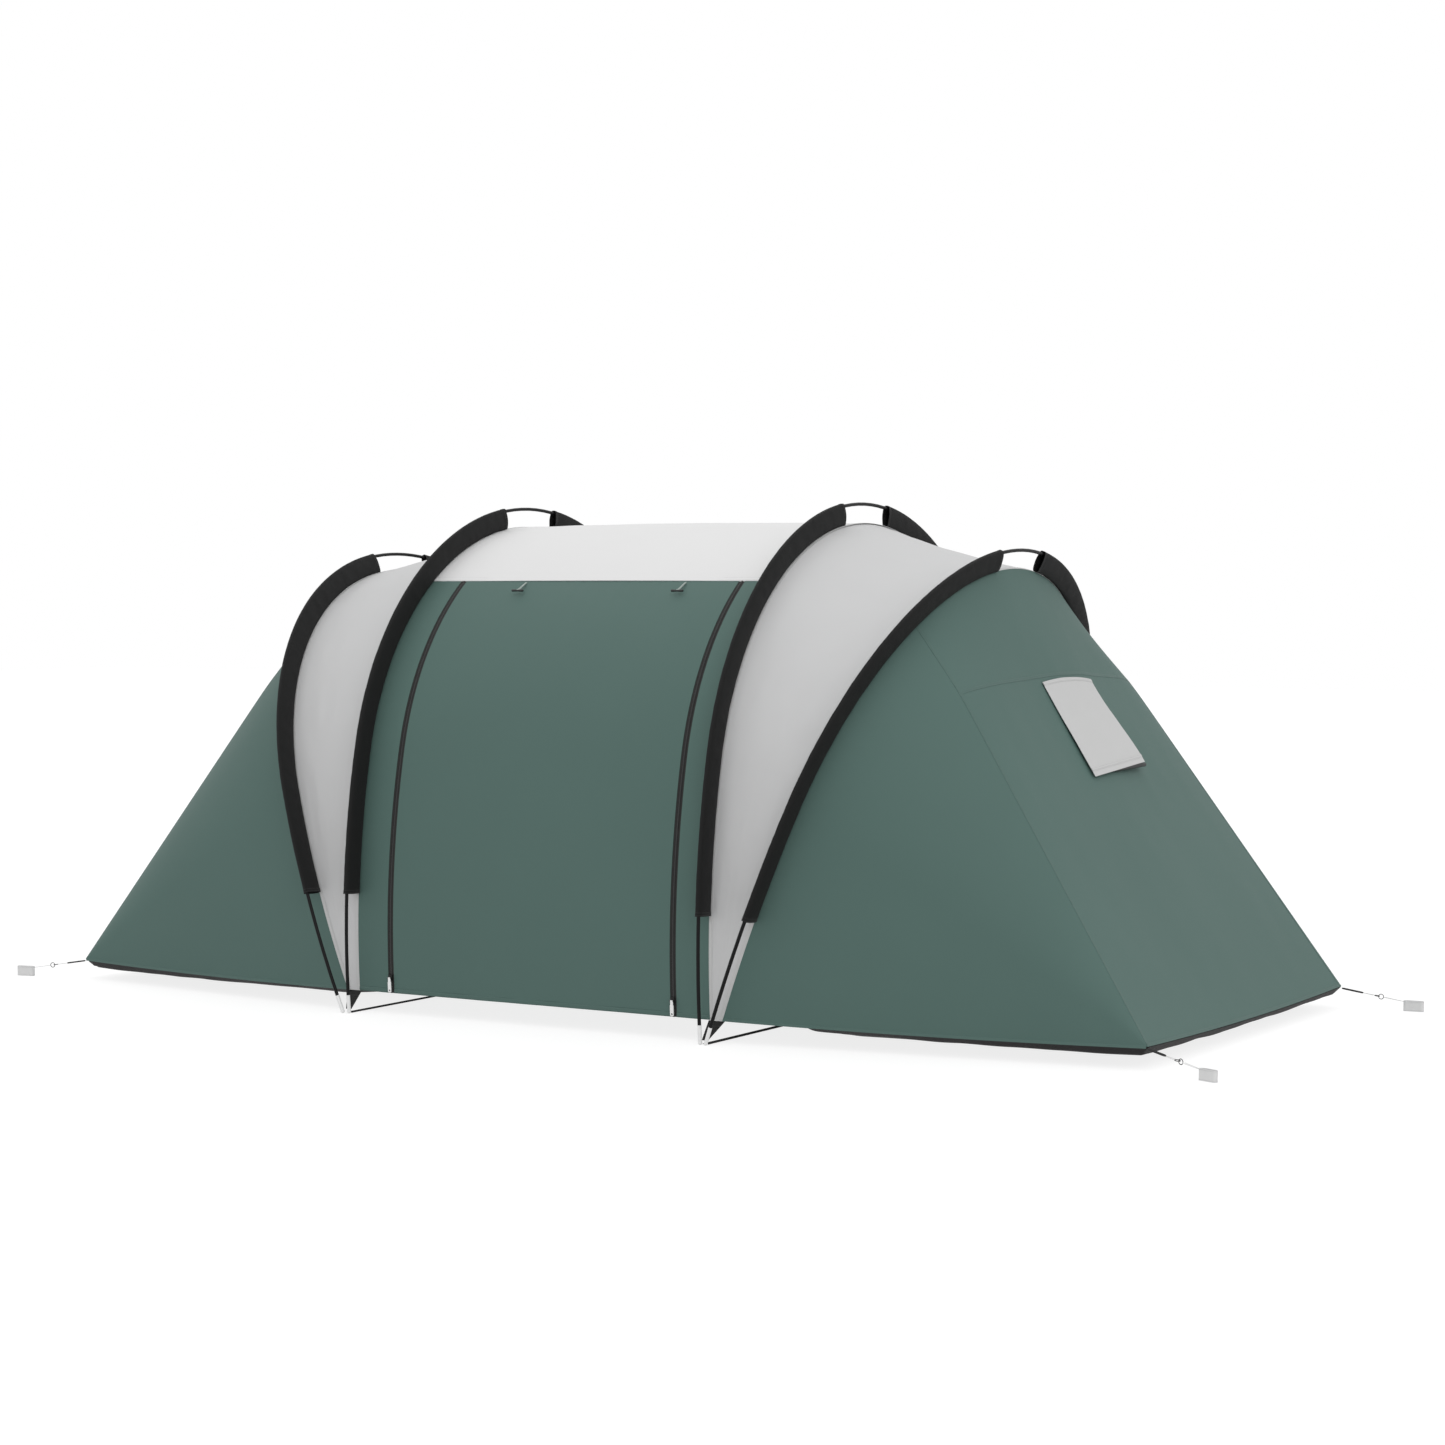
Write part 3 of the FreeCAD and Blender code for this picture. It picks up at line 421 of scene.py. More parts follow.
def zipPiece(side):
    x = fly["zipX"] * sides[side]
    half = fly["tapeWidth"] / 2
    tape = clothPiece("zipTape" + side.title(), bayPlace(x - half, x + half, innerHem, roofAlong, -zips["sink"]),
                      (fly["tapeWidth"], wallLength), (6, 110), "zipTape")
    # the tape's pattern runs along it
    for loop in tape.data.uv_layers[0].data:
        loop.uv = (loop.uv[1], loop.uv[0])
    teeth = wallLength / zips["pitch"]

    def coil(u, v):
        angle = math.pi * u
        ridge = 0.72 + 0.28 * math.cos(2 * math.pi * teeth * v)
        spot = onArch(innerArch, innerHem + v * wallLength, fly["fin"] + zips["sink"])
        out = archOut(innerArch, innerHem + v * wallLength)
        return Vector((x - math.cos(angle) * zips["coilWidth"] / 2, spot.y, spot.z)) + out * (
            math.sin(angle) * zips["coilHeight"] * ridge)

    coilPiece = clothPiece("zipCoil" + side.title(), coil, (0.006, wallLength), (6, int(teeth * 4)), "zipCoil",
                           thickness=0.0003)
    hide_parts("zip_" + side)


for side in sides:
    zipPiece(side)
print("zips done")

# gores

gore = {"sag": 0.010, "seamWidth": 0.012}


def goreSurface(u, v):
    start = onArch(innerArch, innerHem + v * (innerArch["length"] - 2 * innerHem), fly["fin"])
    end = onArch(outerArch, outerHem + v * (outerArch["length"] - 2 * outerHem), fly["fin"])
    return start.lerp(end, u)


def goreDepth(u, v):
    height = math.sin(math.pi * v)
    creases = 0.004 * ripple(u * 3, v * 14, 21.0) + 0.002 * ripple(u * 9, v * 30, 22.0)
    return -(gore["sag"] * math.sin(math.pi * u) * height + creases * inner(u, v))


def arcSeamStrip(name, arch, sideX, width, material):
    hem = innerHem if arch is innerArch else outerHem
    span = arch["length"] - 2 * hem
    shift = archAcross(arch) * (width / 2 if arch is innerArch else -width / 2)
    place = stripAlong(
        lambda u: onArch(arch, hem + u * span, fly["fin"]) + shift,
        lambda u: archOut(arch, hem + u * span),
        lambda u: archAcross(arch), width, 0.0008)
    strip = clothPiece(name, mirrored(place, sideX), (span, width), (260, 4), material, thickness=0.0012)
    return strip


for side, sideX in sides.items():
    surface = rippled(goreSurface, goreDepth)
    cloth = clothPiece("gore" + side.title(), mirrored(surface, sideX), (0.55, 3.6), (40, 220), "gore")
    seams = [
        arcSeamStrip("innerArchSeam" + side.title(), innerArch, sideX, gore["seamWidth"], "flapHem"),
        arcSeamStrip("outerArchSeam" + side.title(), outerArch, sideX, gore["seamWidth"], "flapHem"),
    ]
    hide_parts("gore_" + side)
print("gores done")

# bedroom ends

ends = {"hemSag": 0.011, "seamWidth": 0.012, "hemWidth": 0.012, "vent": (0.040, 0.300, 0.140), "meshGap": 0.0015}
frontCorner = Vector((fly["cornerX"], -fly["cornerY"], fly["hem"]))
cornerTop = onArch(outerArch, fly["cornerSeam"], fly["fin"])
kneeShare = (cornerTop.z - fly["endSeam"]) / (cornerTop.z - fly["hem"])
# square to the side panel, where it meets the corner seam
alongSeam = onArch(outerArch, fly["cornerSeam"] + 0.01, fly["fin"]) - cornerTop
kneeOut = alongSeam.cross(frontCorner - cornerTop).normalized()
if kneeOut.x < 0:
    kneeOut = -kneeOut


def rise(v, peak):  # nought at both ends of a rule and one near the peak, which is a little rounded
    v = min(max(v, 0.0001), 0.9999)
    return ((peak / v) ** 8 + ((1 - peak) / (1 - v)) ** 8) ** -0.125


def kneeReach(side, share):  # the corner seams of the right-hand end stand out more
    return fly["knee"][side] * ease(1 - fly["kneeSpread"], 1.0, share)


def seamShare(u):  # how far down the end its cross seam runs
    across = 2 * u - 1
    half = outerArch["length"] / 2
    top = onArch(outerArch, half + across * (half - fly["cornerSeam"]), fly["fin"])
    height = fly["endSeam"] + fly["endSeamBow"] * (1 - across * across)
    return (top.z - height) / (top.z - fly["hem"])


def endSurface(u, v, side="right"):
    across = 2 * u - 1
    half = outerArch["length"] / 2
    top = onArch(outerArch, half + across * (half - fly["cornerSeam"]), fly["fin"])
    foot = Vector((fly["cornerX"], across * fly["cornerY"], fly["hem"]))
    down = Vector((foot.x - top.x, 0, foot.z - top.z)).normalized()
    offset = Vector((down.z, 0, -down.x)) * (fly["endSag"] * (1 - across * across))
    offset += Vector((kneeOut.x, math.copysign(kneeOut.y, across), kneeOut.z)) * kneeReach(side, abs(across))
    place = top.lerp(foot, v) + offset * rise(v, seamShare(u))
    place.z -= ends["hemSag"] * (1 - across * across) * ease(0.5, 1.0, v)
    return place


def sideSurface(u, v, side):  # u from the hem up the arch, v from the arch to the corner
    edge = onArch(outerArch, outerHem + u * (fly["cornerSeam"] - outerHem), fly["fin"])
    place = edge.lerp(frontCorner, v) + kneeOut * (kneeReach(side, u) * rise(v, kneeShare))
    place.z -= ends["hemSag"] * 4 * v * (1 - v) * (1 - ease(0.0, 0.4, u)) * 0.6
    return place


def endDepth(u, v):
    return 0.005 * ripple(u * 4, v * 3, 31.0) * inner(u, v) + 0.0015 * ripple(u * 14, v * 5, 32.0) * inner(u, v)


def sideDepth(u, v):
    return 0.004 * ripple(u * 4, v * 2, 41.0) * inner(u, v) * (1 - v)


endCloth = {side: rippled(lambda u, v, side=side: endSurface(u, v, side), endDepth) for side in sides}
ventTop, ventBottom, ventHalf = ends["vent"]
slopeTop = endSurface(0.5, 0.0)
slopeFoot = Vector((fly["cornerX"], 0, fly["hem"]))
slopeLength = (slopeFoot - slopeTop).length
ventStart = slopeTop.lerp(slopeFoot, seamShare(0.5))
ventStart += Vector((slopeFoot.z - slopeTop.z, 0, slopeTop.x - slopeFoot.x)) * (fly["endSag"] / slopeLength)
slopeDown = (slopeFoot - ventStart).normalized()
slopeOut = Vector((-slopeDown.z, 0, slopeDown.x))


def onEnd(y, drop):  # the end cloth this far from its middle and this far below the cross seam
    u, v = 0.5, seamShare(0.5)
    for step in range(4):
        spot = endCloth["right"](u, v)
        u += (y - spot.y) / 1.3
        v += (drop - (spot - ventStart).dot(slopeDown)) / slopeLength
    return endCloth["right"](u, v)


def cutVent(sideX):
    down = Vector((slopeDown.x * sideX, 0, slopeDown.z))
    start = Vector((ventStart.x * sideX, 0, ventStart.z))
    planes = [
        (Vector((0, -ventHalf, 0)), Vector((0, 1, 0))),
        (Vector((0, ventHalf, 0)), Vector((0, 1, 0))),
        (start + down * ventTop, down),
        (start + down * ventBottom, down),
    ]

    def cut(bm):
        for point, normal in planes:
            geometry = bm.verts[:] + bm.edges[:] + bm.faces[:]
            bmesh.ops.bisect_plane(bm, geom=geometry, plane_co=point, plane_no=normal)
        hole = []
        for face in bm.faces:
            centre = face.calc_center_median()
            drop = (centre - start).dot(down)
            if abs(centre.y) < ventHalf and ventTop < drop < ventBottom:
                hole.append(face)
        bmesh.ops.delete(bm, geom=hole, context="FACES")
    return cut


def meshPlace(u, v):
    y = (2 * u - 1) * (ventHalf - ends["meshGap"])
    drop = ventTop + ends["meshGap"] + v * (ventBottom - ventTop - 2 * ends["meshGap"])
    return onEnd(y, drop) - slopeOut * 0.003


def endPanels(side, sideX):
    title = side.title()
    surface = endCloth[side]
    upper = clothPiece("endUpper" + title, mirrored(lambda u, v: surface(u, v * seamShare(u)), sideX),
                       (1.25, 0.42), (90, 30), "green")
    lower = clothPiece("endLower" + title,
                       mirrored(lambda u, v: surface(u, seamShare(u) + v * (1 - seamShare(u))), sideX),
                       (1.35, 1.17), (96, 80), "green", cut=cutVent(sideX))
    ventMesh = clothPiece("ventMesh" + title, mirrored(meshPlace, sideX), (0.277, 0.257), (28, 26), "mesh")
    seamPart = ends["seamWidth"] / slopeLength
    hemPart = ends["hemWidth"] / slopeLength
    crossSeam = rippled(lambda u, v: surface(u, seamShare(u) + (v - 0.5) * seamPart), lambda u, v: -0.0008)
    endHem = rippled(lambda u, v: surface(u, 1 - (1 - v) * hemPart), lambda u, v: -0.0008)
    for name, line, across in (
        ("Top", lambda u: meshPlace(u, 0), slopeDown), ("Bottom", lambda u: meshPlace(u, 1), slopeDown),
        ("Near", lambda v: meshPlace(0, v), Vector((0, 1, 0))),
        ("Far", lambda v: meshPlace(1, v), Vector((0, 1, 0))),
    ):
        place = stripAlong(line, lambda u: slopeOut, lambda u, across=across: across, 0.012, 0.0046)
        clothPiece("ventBinding" + name + title, mirrored(place, sideX), (0.28, 0.012), (28, 4),
                                  "greenSeam")
    seamPiece = clothPiece("endSeam" + title, mirrored(crossSeam, sideX), (1.2, ends["seamWidth"]), (90, 4),
                           "greenSeam")
    hemPiece = clothPiece("endHem" + title, mirrored(endHem, sideX), (1.56, ends["hemWidth"]), (96, 4),
                          "greenSeam")
    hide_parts("end_upper_" + side)
    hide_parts("end_lower_" + side)
    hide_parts("vent_mesh_" + side)


def sidePanels(side, sideX, end, sideY):
    title = end.title() + side.title()
    cloth = clothPiece("sidePanel" + title,
                       mirrored(rippled(lambda u, v: sideSurface(u, v, side), sideDepth), sideX, sideY),
                       (1.35, 1.35), (90, 80), "green", weld=True)
    surface = endCloth[side]

    def cornerLine(u, v):  # the seam allowance lies on the end panel
        return surface(u * ends["seamWidth"] / (2 * abs(endSurface(0.0, v, side).y)), v)
    hemLine = stripAlong(
        lambda u: sideSurface(0.004, u * 0.997, side), lambda u: Vector((0, -0.9, 0.4)),
        lambda u: Vector((0, 0.35, 0.94)), ends["hemWidth"], 0.0010)
    cornerPiece = clothPiece("cornerSeam" + title, mirrored(rippled(cornerLine, lambda u, v: -0.0008), sideX, sideY),
                             (ends["seamWidth"], 1.48), (4, 100), "greenSeam")
    for loop in cornerPiece.data.uv_layers[0].data:
        loop.uv = (loop.uv[1], loop.uv[0])
    hemPiece = clothPiece("sideHem" + title, mirrored(hemLine, sideX, sideY), (1.3, ends["hemWidth"]), (90, 4),
                          "greenSeam")
    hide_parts("side_" + end + "_" + side)


for side, sideX in sides.items():
    endPanels(side, sideX)
    sidePanels(side, sideX, "front", 1)
    sidePanels(side, sideX, "back", -1)
print("bedroom ends done")

# vent flaps

flap = {"length": 0.331, "halfWidth": 0.176, "drop": 0.016, "gap": 0.0042, "lift": (0.010, 0.030), "skew": 0.010,
        "topBow": 0.008, "rodRadius": 0.0065, "rodSpan": (-0.22, 1.04)}
flapEnds = [onEnd(place * flap["halfWidth"], flap["drop"] + flap["length"]) + slopeOut * lift
            for place, lift in zip((-1, 1), flap["lift"])]


def flapEdge(across):  # the line of the flap's rod, which rises from its near to its far end
    return flapEnds[0].lerp(flapEnds[1], (across + 1) / 2)


def flapPlace(u, v):
    across = 2 * u - 1
    bow = flap["topBow"] * across * across
    run = bow + v * (flap["length"] + flap["skew"] * (0.4 - across) - bow)
    wave = (0.002 + 0.002 * ripple(u * 3, v * 4, 51.0)) * math.sin(math.pi * v)
    lying = onEnd(across * flap["halfWidth"], flap["drop"] + run) + slopeOut * (flap["gap"] + wave)
    hung = flapEdge(across) + slopeDown * (run - flap["length"])
    return lying.lerp(hung, ease(0.1, 1.0, v))


def roundBar(name, start, end, radius, material, body, waist=1.0):
    axis = end - start
    bm = bmesh.new()
    bmesh.ops.create_cone(bm, cap_ends=True, segments=24, radius1=radius, radius2=radius, depth=axis.length)
    rims = [edge for edge in bm.edges if abs(edge.verts[0].co.z - edge.verts[1].co.z) < 0.00001]
    bmesh.ops.bevel(bm, geom=rims, offset=radius * 0.45, segments=3, affect="EDGES", profile=0.5, material=-1)
    long = [edge for edge in bm.edges if edge.calc_length() > axis.length * 0.4]
    bmesh.ops.subdivide_edges(bm, edges=long, cuts=6, use_grid_fill=True)
    for vert in bm.verts:
        pinch = waist + (1 - waist) * min(1.0, abs(vert.co.z) / (axis.length * 0.35))
        vert.co.x *= pinch
        vert.co.y *= pinch
    turn = axis.to_track_quat("Z", "Y").to_matrix().to_4x4()
    bmesh.ops.transform(bm, matrix=Matrix.Translation((start + end) / 2) @ turn, verts=bm.verts)
    return finishPiece(name, bm, material, body)


for side, sideX in sides.items():
    body = "vent_flap_" + side
    outside = Vector((sideX, 0, 0.2))
    cloth = clothPiece("ventFlap" + side.title(), mirrored(flapPlace, sideX), (0.352, 0.339), (36, 64), "flap", body,
                       inside=outside, thickness=0.0009)
    rodEnds = []
    for across in flap["rodSpan"]:
        spot = flapEdge(across) - slopeOut * (flap["rodRadius"] + 0.0012)
        rodEnds.append(Vector((spot.x * sideX, spot.y, spot.z)))
    rod = roundBar("flapRod" + side.title(), rodEnds[0], rodEnds[1], flap["rodRadius"], "toggle", body)
    for name, v, width in (("Low", 0.93, 0.012), ("Top", 0.02, 0.012)):
        place = stripAlong(lambda u, v=v: flapPlace(u, v), lambda u: slopeOut, lambda u: slopeDown, width, 0.0008)
        clothPiece("flapHem" + name + side.title(), mirrored(place, sideX), (0.352, width), (36, 4),
                               "flapHem", body, inside=outside, thickness=0.0006)
    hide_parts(body)
print("vent flaps done")

# pole sleeves

sleeve = {"crown": 0.0095, "width": 0.0125, "endGap": 0.150, "innerStart": 0.385,
          "outerStart": 0.405, "hem": 0.015, "wall": 0.0011}


def sleevePlace(arch, start, end, seed):
    across = archAcross(arch)

    def place(u, v):
        along = start + v * (end - start)
        share = abs(2 * u - 1)  # one at the seam, nought over the pole
        side = 1 if u > 0.5 else -1
        pull = math.sin(math.pi * share)
        depth = -sleeve["crown"] + (fly["fin"] - 0.001 + sleeve["crown"]) * (1 - math.cos(math.pi * share)) / 2
        half = sleeve["width"] * max(0.0, pull) ** 0.55
        fold = 0.0016 * ripple(along * 26, share * 2.0 + side * 5, seed) * pull
        slack = 0.0011 * ripple(along * 60, share * 3.5 + side * 9, seed + 3) * pull
        cuff = 0.0007 * ease(0.0, 1.0, 1 - min(along - start, end - along) / 0.006)
        return (onArch(arch, along, depth) + across * side * (half + fold + slack + cuff)
                + archOut(arch, along) * (0.5 * slack))
    return place


def sleevePiece(name, arch, start, sideX, sideY, seed, node):
    end = arch["length"] / 2 - sleeve["endGap"]
    middle = mirrored(lambda u, v: onArch(arch, (start + end) / 2, 0.024), sideX, sideY)(0, 0)
    piece = clothPiece(name, mirrored(sleevePlace(arch, start, end, seed), sideX, sideY), (0.155, end - start),
                       (28, 170), "sleeve", inside=middle, thickness=sleeve["wall"], weld=True)
    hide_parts(node)
    for label, at in (("Low", start + 0.0065), ("High", end - 0.0065)):
        ring = sleevePlace(arch, start, end, seed)

        def cuff(u, v, at=at, ring=ring):
            along = at + (u - 0.5) * 0.013
            middle = onArch(arch, along, 0.024)
            spot = ring(v, (along - start) / (end - start))
            return spot + (spot - middle).normalized() * 0.0007

        clothPiece(name + "Cuff" + label, mirrored(lambda u, v, cuff=cuff: cuff(v, u), sideX, sideY),
                                (0.155, 0.013), (40, 3), "sleeveHem",
                                inside=mirrored(lambda u, v: onArch(arch, at, 0.024), sideX, sideY)(0, 0),
                                thickness=0.0006)


seed = 60.0
for side, sideX in sides.items():
    for label, arch in (("inner", innerArch), ("outer", outerArch)):
        start = sleeve[label + "Start"]
        for end, sideY in (("Front", 1), ("Back", -1)):
            seed += 10
            sleevePiece(label + "Sleeve" + end + side.title(), arch, start, sideX, sideY, seed,
                        "sleeves_" + label + "_" + side)
print("sleeves done")

# groundsheets

tray = {"innerX": 0.712, "rim": 0.0655, "bend": (0.025, 0.038), "floorInset": 0.300, "doorBend": 0.008,
        "doorFloor": 0.060, "footLift": 0.022, "doorRim": 0.012, "thickness": 0.0012,
        "taperFrom": 0.55, "taperLength": 0.29}
trayFoot = onArch(outerArch, outerHem, fly["fin"]).y
trayCorners = [(tray["innerX"], trayFoot), (fly["cornerX"], -fly["cornerY"]), (fly["cornerX"], fly["cornerY"]),
               (tray["innerX"], -trayFoot)]


def trayRing(insets, z):
    corners = []
    for number in range(4):
        lines = []
        for side in (number - 1, number):
            start = Vector(trayCorners[side % 4])
            run = (Vector(trayCorners[(side + 1) % 4]) - start).normalized()
            inward = Vector((-run.y, run.x))
            lines.append((inward, inward.dot(start) + insets[side % 4]))
        (a, first), (b, second) = lines
        spread = a.x * b.y - a.y * b.x
        corners.append(Vector(((first * b.y - second * a.y) / spread, (a.x * second - b.x * first) / spread, z)))
    return corners


trayRings = [
    (0.55, trayRing([tray["floorInset"]] * 3 + [tray["doorFloor"]], 0.0015)),
    (0.93, trayRing([tray["bend"][0]] * 3 + [tray["doorBend"]], tray["bend"][1])),
    (1.0, trayRing([0.001] * 4, tray["rim"])),
]


def onRing(corners, u, v):
    low = corners[0].lerp(corners[1], u)
    high = corners[3].lerp(corners[2], u)
    return low.lerp(high, v)


def trayPlace(u, v):
    x, y = 2 * u - 1, 2 * v - 1
    reach = max(abs(x), abs(y))
    if reach < 0.0001:
        return onRing(trayRings[0][1], 0.5, 0.5)
    edgeU, edgeV = 0.5 + 0.5 * x / reach, 0.5 + 0.5 * y / reach
    before = (0.0, [onRing(trayRings[0][1], 0.5, 0.5)] * 4)
    for ring in trayRings:
        if reach <= ring[0] + 0.00001:
            share = (reach - before[0]) / (ring[0] - before[0])
            spot = onRing(before[1], edgeU, edgeV).lerp(onRing(ring[1], edgeU, edgeV), share)
            break
        before = ring
    # the corners at the feet are cut back, so that the sheet narrows towards the bay
    narrow = ease(0.0, 1.0, (spot.x - tray["innerX"]) / tray["taperLength"])
    widest = abs(trayCorners[0][1])
    spot.y *= (tray["taperFrom"] + (widest - tray["taperFrom"]) * narrow) / widest
    # the fold runs up to the hem at the feet, and the edge at the door lies low between them
    side = max(0.0, min((reach - 0.55) / 0.38, (1 - reach) / 0.07))
    fall = ease(0.0, 0.15, 1 - abs(y) / reach) if -x >= abs(y) else 0.0
    if -x >= abs(y):
        spot.z += tray["footLift"] * side * (1 - fall)
    elif abs(y) >= abs(x):
        spot.z += tray["footLift"] * side * (1 - edgeU) ** 1.2
    spot.z += (min(spot.z, tray["doorRim"]) - spot.z) * fall * ease(0.55, 0.9, reach)
    # its edge follows the dip of the fly's hem
    if x >= abs(y):
        dip = 1 - (y / reach) ** 2
    else:
        dip = 2.4 * edgeU * (1 - edgeU) if abs(y) >= abs(x) else 0.0
    spot.z -= ends["hemSag"] * dip * max(0.0, spot.z) / tray["rim"]
    # the raised edge hangs a little unevenly and lies in shallow folds on the ground
    wave = ripple(spot.x * 7, spot.y * 7, 90.0)
    slope = ease(0.55, 0.75, reach) * (1 - ease(0.96, 1.0, reach))
    spot.z += 0.004 * (wave + 0.2) * slope
    if reach < 0.55:
        spot.z += 0.0012 * max(0.0, ripple(spot.x * 5, spot.y * 5, 91.0)) * ease(0.0, 0.1, 0.55 - reach)
    return spot


for side, sideX in sides.items():
    cloth = clothPiece("groundsheet" + side.title(), mirrored(trayPlace, sideX), (1.6, 2.2), (100, 100),
                       "groundsheet", inside=Vector((1.3 * sideX, 0, 0.5)), thickness=tray["thickness"])
    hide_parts("groundsheet_" + side)
print("groundsheets done")

# webbing at the feet

feet = {"thickness": 0.0022, "width": 0.020, "footHeight": 0.014}
webTop = onArch(innerArch, innerHem, fly["fin"]).y
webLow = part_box("foot_webbing")[0][1] + feet["thickness"]
middleX = bay["halfLength"] + 0.010
webCorners = [
    Vector((bay["halfLength"] - 0.005, webTop, fly["hem"] - 0.001)),
    Vector((onArch(outerArch, outerHem, fly["fin"]).x + 0.005, webTop, fly["hem"] - 0.001)),
    Vector((middleX + 0.010, webLow, feet["footHeight"])),
    Vector((middleX - 0.010, webLow, feet["footHeight"])),
]


def webPlace(u, v):
    top = webCorners[0].lerp(webCorners[1], u)
    low = webCorners[3].lerp(webCorners[2], u)
    pucker = 0.0006 * math.sin(u * math.pi * 5) * v * (1 - v) * 4
    return top.lerp(low, v) + Vector((0, pucker, 0))


def strapPlace(u, v):
    half = abs(webLow) - feet["thickness"] * 2 - 0.001
    rise = 0.0006 + 0.0016 * (0.5 + 0.5 * ripple(v * 9, 0.3, 95.0)) * math.sin(math.pi * v)
    return Vector((middleX + (u - 0.5) * feet["width"], -half + 2 * half * v, rise + feet["thickness"]))


strapLength = 2 * abs(webLow) - 0.01
for side, sideX in sides.items():
    for end, sideY in (("Front", 1), ("Back", -1)):
        patch = clothPiece("footWebbing" + end + side.title(), mirrored(webPlace, sideX, sideY), (0.05, 0.07),
                           (16, 18), "webbing", thickness=feet["thickness"],
                           inside=Vector((0.7 * sideX, 0, 0)))
        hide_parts("foot_webbing")
    strap = clothPiece("groundStrap" + side.title(), mirrored(strapPlace, sideX), (feet["width"], strapLength),
                       (6, 150), "webbing", thickness=feet["thickness"],
                       inside=Vector((0.67 * sideX, 0, -1)))
    for loop in strap.data.uv_layers[0].data:
        loop.uv = (loop.uv[1], loop.uv[0])
    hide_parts("ground_straps")
print("webbing done")

# toggles

toggle = {"x": {"left": -0.276, "right": 0.332}, "drop": 0.012, "standOff": 0.0035, "lift": math.radians(10),
          "length": 0.056, "barRadius": 0.004, "barLength": 0.044, "cordRadius": 0.0015, "spread": 0.0018}


def softTube(name, points, radius, material, body, closed=False):
    curve = bpy.data.curves.new(name, "CURVE")
    curve.dimensions = "3D"
    spline = curve.splines.new("NURBS")
    spline.points.add(len(points) - 1)
    for point, spot in zip(spline.points, points):
        point.co = (spot[0], spot[1], spot[2], 1.0)
    spline.order_u = 3
    if closed:
        spline.use_cyclic_u = True
    else:
        spline.use_endpoint_u = True
    spline.resolution_u = 10
    curve.bevel_depth = radius
    curve.bevel_resolution = 4
    curve.use_fill_caps = not closed
    curve.materials.append(materials[material])
    piece = bpy.data.objects.new(name, curve)
    scene.collection.objects.link(piece)
    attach(piece, body)
    return piece


outDoor = archOut(innerArch, roofAlong)
downDoor = Vector((0, -outDoor.z, outDoor.y))
lifted = downDoor * math.cos(toggle["lift"]) + outDoor * math.sin(toggle["lift"])
for side, x in toggle["x"].items():
    seamSpot = onArch(innerArch, roofAlong, fly["fin"])
    root = Vector((x, seamSpot.y, seamSpot.z)) + downDoor * toggle["drop"] + outDoor * toggle["standOff"]
    tip = root + lifted * toggle["length"]
    body = "toggle_" + side
    bar = roundBar("toggleBar" + side.title(), tip - Vector((toggle["barLength"] / 2, 0, 0)),
                   tip + Vector((toggle["barLength"] / 2, 0, 0)), toggle["barRadius"], "toggle", body, waist=0.8)
    shift = Vector((toggle["spread"], 0, 0))
    loop = [root - shift, root + lifted * 0.02 - shift, tip - shift * 1.4 - lifted * 0.003,
            tip + outDoor * 0.0052, tip + shift * 1.4 - lifted * 0.003, root + lifted * 0.02 + shift, root + shift]
    cord = softTube("toggleLoop" + side.title(), loop, toggle["cordRadius"], "toggleCord", body)
    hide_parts(body)
print("toggles done")

# corner tethers

tether = {"headings": {"front_right": -22.0, "back_right": 5.0, "front_left": 193.0, "back_left": 167.0},
          "top": 0.062, "slope": 0.155, "loopHalf": 0.0036,
          "loopRadius": 0.0024, "cordRadius": 0.0009, "cordHalf": 0.0045,
          "firstCord": (0.1073, 0.0735), "secondCord": (0.1417, 0.2025),
          "band": (0.204, 0.270), "bandHalf": 0.009, "bandHeight": 0.034, "bandWall": 0.0014}


def tetherFrame(corner):
    x = fly["cornerX"] if "right" in corner else -fly["cornerX"]
    y = fly["cornerY"] if "back" in corner else -fly["cornerY"]
    return Matrix.Translation((x, y, 0)) @ Matrix.Rotation(math.radians(tether["headings"][corner]), 4, "Z")


def onTether(along, across=0.0, up=0.0):
    return Vector((along, across, tether["top"] - tether["slope"] * along + up))


def bandPlace(u, v):  # round a flat loop that stands on edge
    start, end = tether["band"]
    radius = tether["bandHalf"]
    straight = end - start - 2 * radius
    around = 2 * straight + 2 * math.pi * radius
    run = u * around
    if run < straight:
        flat = Vector((start + radius + run, -radius, 0))
    elif run < straight + math.pi * radius:
        angle = (run - straight) / radius
        flat = Vector((end - radius + radius * math.sin(angle), -radius * math.cos(angle), 0))
    elif run < 2 * straight + math.pi * radius:
        flat = Vector((end - radius - (run - straight - math.pi * radius), radius, 0))
    else:
        angle = (run - 2 * straight - math.pi * radius) / radius
        flat = Vector((start + radius - radius * math.sin(angle), radius * math.cos(angle), 0))
    slack = 0.0006 * ripple(run * 60, v * 2, 97.0)
    return Vector((flat.x, flat.y * (1 - 0.05 * math.sin(math.pi * v)) + slack,
                   0.0006 + v * (tether["bandHeight"] - 0.0006)))


